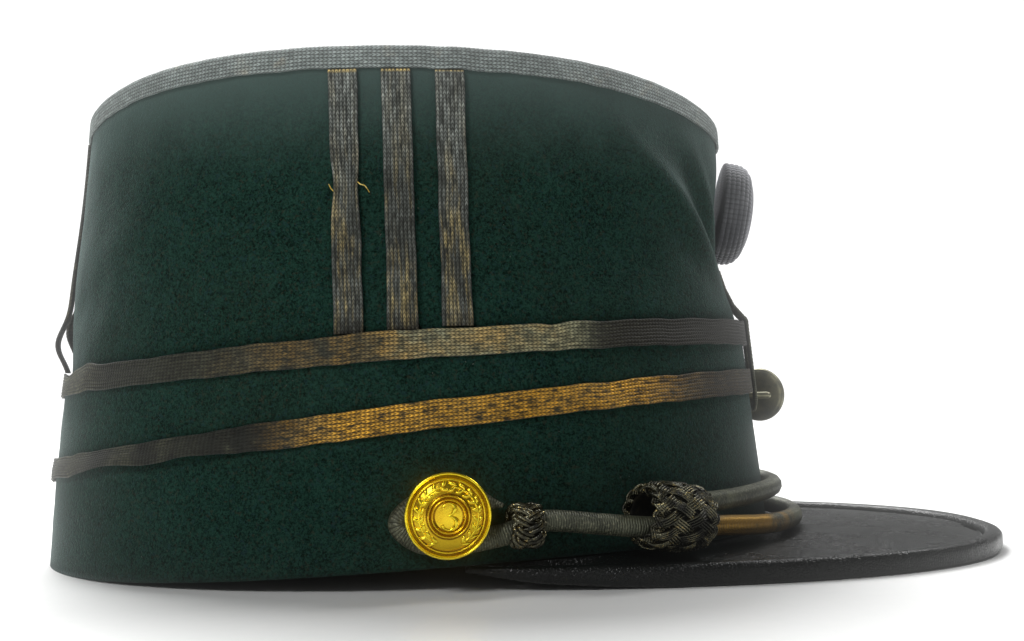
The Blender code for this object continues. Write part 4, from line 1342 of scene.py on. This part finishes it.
def make_buttons(gilt, dull):
    for side, word in SIDES:
        angle = side * math.radians(SIDE_BUTTON_ANGLE)
        back = on_wall(angle, SIDE_BUTTON_HEIGHT, CORD_DIAMETER + SIDE_BUTTON_SLACK)
        foot = on_wall(angle, SIDE_SHANK_HEIGHT, GAP)
        facing = outward(angle, SIDE_BUTTON_HEIGHT)
        make_button(f"side_button_{word}", SIDE_BUTTON_RADIUS, SIDE_BUTTON_DEPTH, facing, [foot, back], gilt)
    height = front_button_height()
    back = on_wall(math.radians(FRONT_BUTTON_ANGLE), height, FRONT_BUTTON_OUT)
    bend = on_wall(0.0, height, FRONT_BUTTON_OUT - 1.2 * SHANK_RADIUS)
    turn = bend + Vector((SHANK_RADIUS, 1.4 * SHANK_RADIUS, 0))
    swing = math.radians(FRONT_BUTTON_SWING)
    facing = Vector((math.cos(swing), math.sin(swing), 0))
    route = [on_wall(0.0, height, GAP), bend, turn, back]
    make_button("front_button", FRONT_BUTTON_RADIUS, FRONT_BUTTON_DEPTH, facing, route, dull)


def front_button_height():
    return level(LOWER_LACE, 0.0) - FRONT_BUTTON_DROP


def make_cockade(finish):
    """An oval boss of cord wound in rings about its middle, where it is nearly flat."""
    profile = [(0.0, 0.0), (COCKADE_TOP, 0.0)]
    steps = COCKADE_RIBS * 8
    steep, flat = COCKADE_DOME
    for i in range(1, steps):
        share = i / steps
        dome = (1 - share ** steep) ** (1 / flat)
        groove = COCKADE_RIB_DEPTH * (1 - abs(math.sin(math.pi * share * COCKADE_RIBS))) ** 1.6
        profile.append((max(0.0, dome - groove / (COCKADE_HEIGHT / 2)), share * COCKADE_TOP))
    for ring in range(1, 12):
        radius = COCKADE_MIDDLE * (1 - ring / 12)
        dome = (1 - radius ** flat) ** (1 / steep)
        ridge = COCKADE_MIDDLE_RING * abs(math.sin(math.pi * ring / 4))
        profile.append((radius, COCKADE_TOP * dome - ridge))
    profile.append((0.0, COCKADE_TOP))
    middle = on_crown(0.0, crown_height(0.0, COCKADE_LEVEL), COCKADE_SEAT)
    place = Matrix.Translation(middle) @ Matrix.Rotation(math.radians(COCKADE_TILT), 4, "Y")
    place = place @ Matrix.Diagonal((COCKADE_DEPTH, COCKADE_WIDTH / 2, COCKADE_HEIGHT / 2, 1))
    bm = spun(profile, COCKADE_SIDES, place)
    weave = bm.loops.layers.uv.new("weave")
    inverse = place.inverted()
    for face in bm.faces:
        middle = inverse @ face.calc_center_median()
        around = math.atan2(middle.z, middle.y) / (2 * math.pi)
        for loop in face.loops:
            at = inverse @ loop.vert.co
            turn = math.atan2(at.z, at.y) / (2 * math.pi)
            turn += round(around - turn)
            loop[weave].uv = (turn * COCKADE_BEADS * COCKADE_BEAD, at.x * COCKADE_DEPTH)
    settle("wound_cockade", bm, finish, "cockade_cord", "cockade")


def loop_point(share):
    along = share * (len(LOOP_ROUTE) - 1)
    row = min(int(along), len(LOOP_ROUTE) - 2)
    here, there = LOOP_ROUTE[row], LOOP_ROUTE[row + 1]
    part = along - row
    down = here["down"] + (there["down"] - here["down"]) * part
    out = here["out"] + (there["out"] - here["out"]) * part
    top = crown_height(0.0, COCKADE_LEVEL) - COCKADE_HEIGHT / 2 - LOOP_START
    height = top + (front_button_height() - top) * down
    return on_wall(0.0, height, LACE_THICKNESS + 2 * GAP + out * FOLD_DEPTH)


def make_cockade_loop(finish):
    """Three round cords side by side, down one side, round under the button's shank and up the other."""
    downs = [loop_point(i / 24) for i in range(25)]
    spread = LOOP_SPREAD / 2
    lift = Vector((LOOP_CORD_THICKNESS / 2, 0, 0))
    thick = LOOP_CORD_WIDTH / 3
    whole = bmesh.new()
    for number in (-1, 0, 1):
        away = spread - number * thick
        line = [point + Vector((0, -away, 0)) + lift for point in downs]
        for turn in range(15, 180, 15):
            swing = math.radians(turn)
            line.append(downs[-1] + Vector((0, -away * math.cos(swing), -away * math.sin(swing))) + lift)
        line += [point + Vector((0, away, 0)) + lift for point in reversed(downs)]
        line = evenly(smooth_line(line, 4), 0.00035)

        def radius(along, turn, far):
            return thick / 2 * (0.93 + 0.07 * math.sin(2 * math.pi * far / 0.0011 + 2 * turn))

        add_mesh(whole, rod(line, 10, radius))
    settle("twisted_cockade_loop", whole, finish, "gold_cord", "cockade_loop")


def cord_line(side, rows):
    spots = [on_wall(math.radians(angle), height, out) for angle, out, height in rows]
    return [Vector((p.x, side * p.y, p.z)) for p in smooth_line(spots, CORD_STEPS)]


def cord_at(side, rows, angle):
    points = cord_line(side, rows[CORD_TURN_BACK:])
    turns = [math.degrees(math.atan2(side * p.y / half_width(0), p.x / half_length(0))) for p in points]
    for here, there, turn, next_turn in zip(points, points[1:], turns, turns[1:]):
        if next_turn <= angle <= turn:
            return here.lerp(there, (turn - angle) / (turn - next_turn))
    return points[-1]


def forward(side, angle):
    behind, ahead = on_wall(math.radians(angle + 2), 0.0), on_wall(math.radians(angle - 2), 0.0)
    step = (ahead - behind).normalized()
    return Vector((step.x, side * step.y, 0))


def make_chin_cord(name, line, finish):
    """A round cord closely wound with thread, whose start tapers into its knot."""
    points = evenly(line, CORD_RIB / 3)
    start, end = 0.006, 0.0004

    def radius(along, turn, far):
        total = len(points) * CORD_RIB / 3
        taper = (0.25 + 0.75 * ease(far / start)) * math.sqrt(min(1.0, max(0.0, (total - far) / end)))
        rib = abs(math.sin(math.pi * far / CORD_RIB + turn))
        return CORD_DIAMETER / 2 * taper - CORD_RIB_DEPTH * (1 - rib)

    settle(f"wound_{name}", rod(points, 12, radius), finish, "gold_cord", name)


def plait(place, long, radius, mouth, leads, bights, strands, thread, weave_depth):
    """A closed plait round an axis: one band of strands that runs up and down and passes over and under itself.
    Leads and bights share no factor, so that one band makes it all."""
    whole = bmesh.new()
    steps = leads * bights * PLAIT_STEPS
    half = long / 2 - thread * strands * 0.35
    for number in range(strands):
        offset = (number - (strands - 1) / 2) * thread * 0.98
        line = []
        for i in range(steps + 1):
            turn = 2 * math.pi * leads * i / steps
            swing = bights * turn / leads
            level_sine = abs(math.sin(swing))
            over = math.sin((leads - 1) * swing) / max(0.45, level_sine)
            wide = mouth + (radius - mouth) * level_sine ** PLAIT_BELLY
            wide += weave_depth * max(-1.0, min(1.0, over))
            step_turn, step_swing = 0.001, 0.001 * bights / leads
            axial = -half * math.cos(swing)
            axial_next = -half * math.cos(swing + step_swing)
            slope = Vector((axial_next - axial, radius * step_turn)).normalized()
            axial += -slope.y * offset
            around = turn + slope.x * offset / wide
            line.append(Vector((axial, wide * math.cos(around), wide * math.sin(around))))
        add_mesh(whole, rod(line, 7, lambda along, around, far: thread / 2))
    bmesh.ops.remove_doubles(whole, verts=whole.verts, dist=WELD)
    bmesh.ops.transform(whole, matrix=place, verts=whole.verts)
    return whole


def barrel(place, long, radius, mouth):
    """The core inside a plait, with an opening at each end for the cords. Its finish is painted near-black as
    the shade between the strands.
    """
    profile = []
    for i in range(BARREL_STEPS + 1):
        turn = math.pi * i / BARREL_STEPS
        wide = mouth + (radius - mouth) * math.sin(turn) ** PLAIT_BELLY
        profile.append((wide, -long / 2 * math.cos(turn)))
    inner = [(mouth * 0.97, reach) for wide, reach in reversed(profile[1:-1])]
    profile = profile + inner + [profile[0]]
    return spun(profile, BARREL_SIDES, place)


def make_knots(strand, core):
    """The small knot that ends each eye, and the large slide round both cords, on each side."""
    for word, side, rows in CORD_RUNS:
        place = place_along(cord_at(side, rows, KNOT_ANGLE), forward(side, KNOT_ANGLE))
        radius, mouth = CORD_DIAMETER / 2 + KNOT_WALL, CORD_DIAMETER / 2
        body = plait(place, KNOT_LENGTH, radius - 0.0006, mouth + 0.0008, **KNOT_PLAIT)
        add_mesh(body, barrel(place, KNOT_LENGTH * 0.8, radius - 0.0016, mouth + 0.0002), coat=1)
        settle(f"plaited_cord_knot_{word}", body, strand, "gold_cord", f"cord_knot_{word}", second=core)
        radius = CORD_DIAMETER + SLIDE_WALL
        at = on_wall(side * math.radians(SLIDE_ANGLE), RIM_RISE + radius, radius + 2 * GAP)
        place = place_along(at, forward(side, SLIDE_ANGLE) - Vector((0, 0, SLIDE_DROP)))
        body = plait(place, SLIDE_LENGTH, radius - 0.0005, radius * 0.66, **SLIDE_PLAIT)
        add_mesh(body, barrel(place, SLIDE_LENGTH * 0.84, radius - 0.0011, radius * 0.62), coat=1)
        settle(f"plaited_cord_slide_{word}", body, strand, "gold_cord", f"cord_slide_{word}", second=core)


def make_chin_cords(finish):
    for word, side, rows in CORD_RUNS:
        make_chin_cord(f"chin_cord_{word}", cord_line(side, rows), finish)


def make_camera():
    data = bpy.data.cameras.new("camera")
    data.sensor_width = SENSOR
    data.lens = FOCUS_IN_PIXELS * SENSOR / PHOTO_WIDTH
    data.clip_start = 0.01
    camera = bpy.data.objects.new("camera", data)
    rise = Matrix.Rotation(math.pi / 2 + math.radians(CAMERA_RISE), 4, "X")
    roll = Matrix.Rotation(math.radians(CAMERA_ROLL), 4, "Z")
    camera.matrix_world = Matrix.Translation(CAMERA_AT) @ rise @ roll
    bpy.context.scene.collection.objects.link(camera)
    bpy.context.scene.camera = camera


def soft_light(name, at, towards, size, power):
    data = bpy.data.lights.new(name, "AREA")
    data.shape = "DISK"
    data.size = size
    data.energy = power
    light = bpy.data.objects.new(name, data)
    light.location = at
    light.rotation_euler = (Vector(towards) - Vector(at)).to_track_quat("-Z", "Y").to_euler()
    bpy.context.scene.collection.objects.link(light)


def make_glow():
    """The bright room blooms a little over the hat's outline."""
    scene = bpy.context.scene
    scene.use_nodes = True
    tree = scene.node_tree
    tree.nodes.clear()
    layers = tree.nodes.new("CompositorNodeRLayers")
    glow = tree.nodes.new("CompositorNodeGlare")
    out = tree.nodes.new("CompositorNodeComposite")
    glow.glare_type = "BLOOM"
    glow.quality = "HIGH"
    for socket, value in GLOW.items():
        glow.inputs[socket].default_value = value
    tree.links.new(layers.outputs["Image"], glow.inputs["Image"])
    tree.links.new(glow.outputs["Image"], out.inputs["Image"])


def make_studio():
    """A white room, lit mostly from a window behind the hat: its front stays deep and its shadow soft."""
    world = bpy.data.worlds.new("studio")
    bpy.context.scene.world = world
    world.use_nodes = True
    tree = world.node_tree
    room = tree.nodes["Background"]
    seen = tree.nodes.new("ShaderNodeBackground")
    for wall, strength in ((room, ROOM_LIGHT), (seen, SEEN_WALL)):
        wall.inputs["Color"].default_value = (1.0, 1.0, 1.0, 1.0)
        wall.inputs["Strength"].default_value = strength
    ray = tree.nodes.new("ShaderNodeLightPath")
    choice = tree.nodes.new("ShaderNodeMixShader")
    tree.links.new(ray.outputs["Is Camera Ray"], choice.inputs["Fac"])
    tree.links.new(room.outputs["Background"], choice.inputs[1])
    tree.links.new(seen.outputs["Background"], choice.inputs[2])
    tree.links.new(choice.outputs["Shader"], tree.nodes["World Output"].inputs["Surface"])
    paper = Finish("pale_floor")
    grain = paper.noise(0.004, detail=2.0)
    shade = paper.mix(grain, (0.86, 0.87, 0.86), (0.90, 0.90, 0.89))
    paper.paint(Base_Color=shade, Roughness=0.38 - 0.06 * grain)
    bm = bmesh.new()
    bmesh.ops.create_circle(bm, cap_ends=True, segments=96, radius=FLOOR_RADIUS)
    mesh = bpy.data.meshes.new("floor")
    bm.to_mesh(mesh)
    bm.free()
    mesh.materials.append(paper.made)
    floor = bpy.data.objects.new("floor", mesh)
    bpy.context.scene.collection.objects.link(floor)
    bpy.context.scene.view_settings.view_transform = "Standard"
    for light in LIGHTS:
        soft_light(**light)


def main():
    make_camera()
    make_studio()
    make_glow()
    cloth = green_cloth("green_cloth", 0.75)
    leather = black_leather()
    strand = plait_strand()
    cover = cord_cover()
    make_headband(cloth)
    make_crown(cloth)
    make_tip(green_cloth("tip_cloth", 0.0))
    make_edge_lace(edge_lace())
    make_ring_lace("upper_lace", UPPER_LACE, upper_lace(), UPPER_CRUMPLES)
    make_ring_lace("lower_lace", LOWER_LACE, lower_lace(), LOWER_CRUMPLES)
    make_stripes(stripe_lace())
    make_peak(leather)
    make_binding(leather)
    make_buttons(gilt_brass(), dull_brass())
    make_cockade(cockade_cord())
    make_cockade_loop(cover)
    make_chin_cords(cover)
    make_knots(strand, knot_core())
    make_loose_threads(gold_thread())


main()
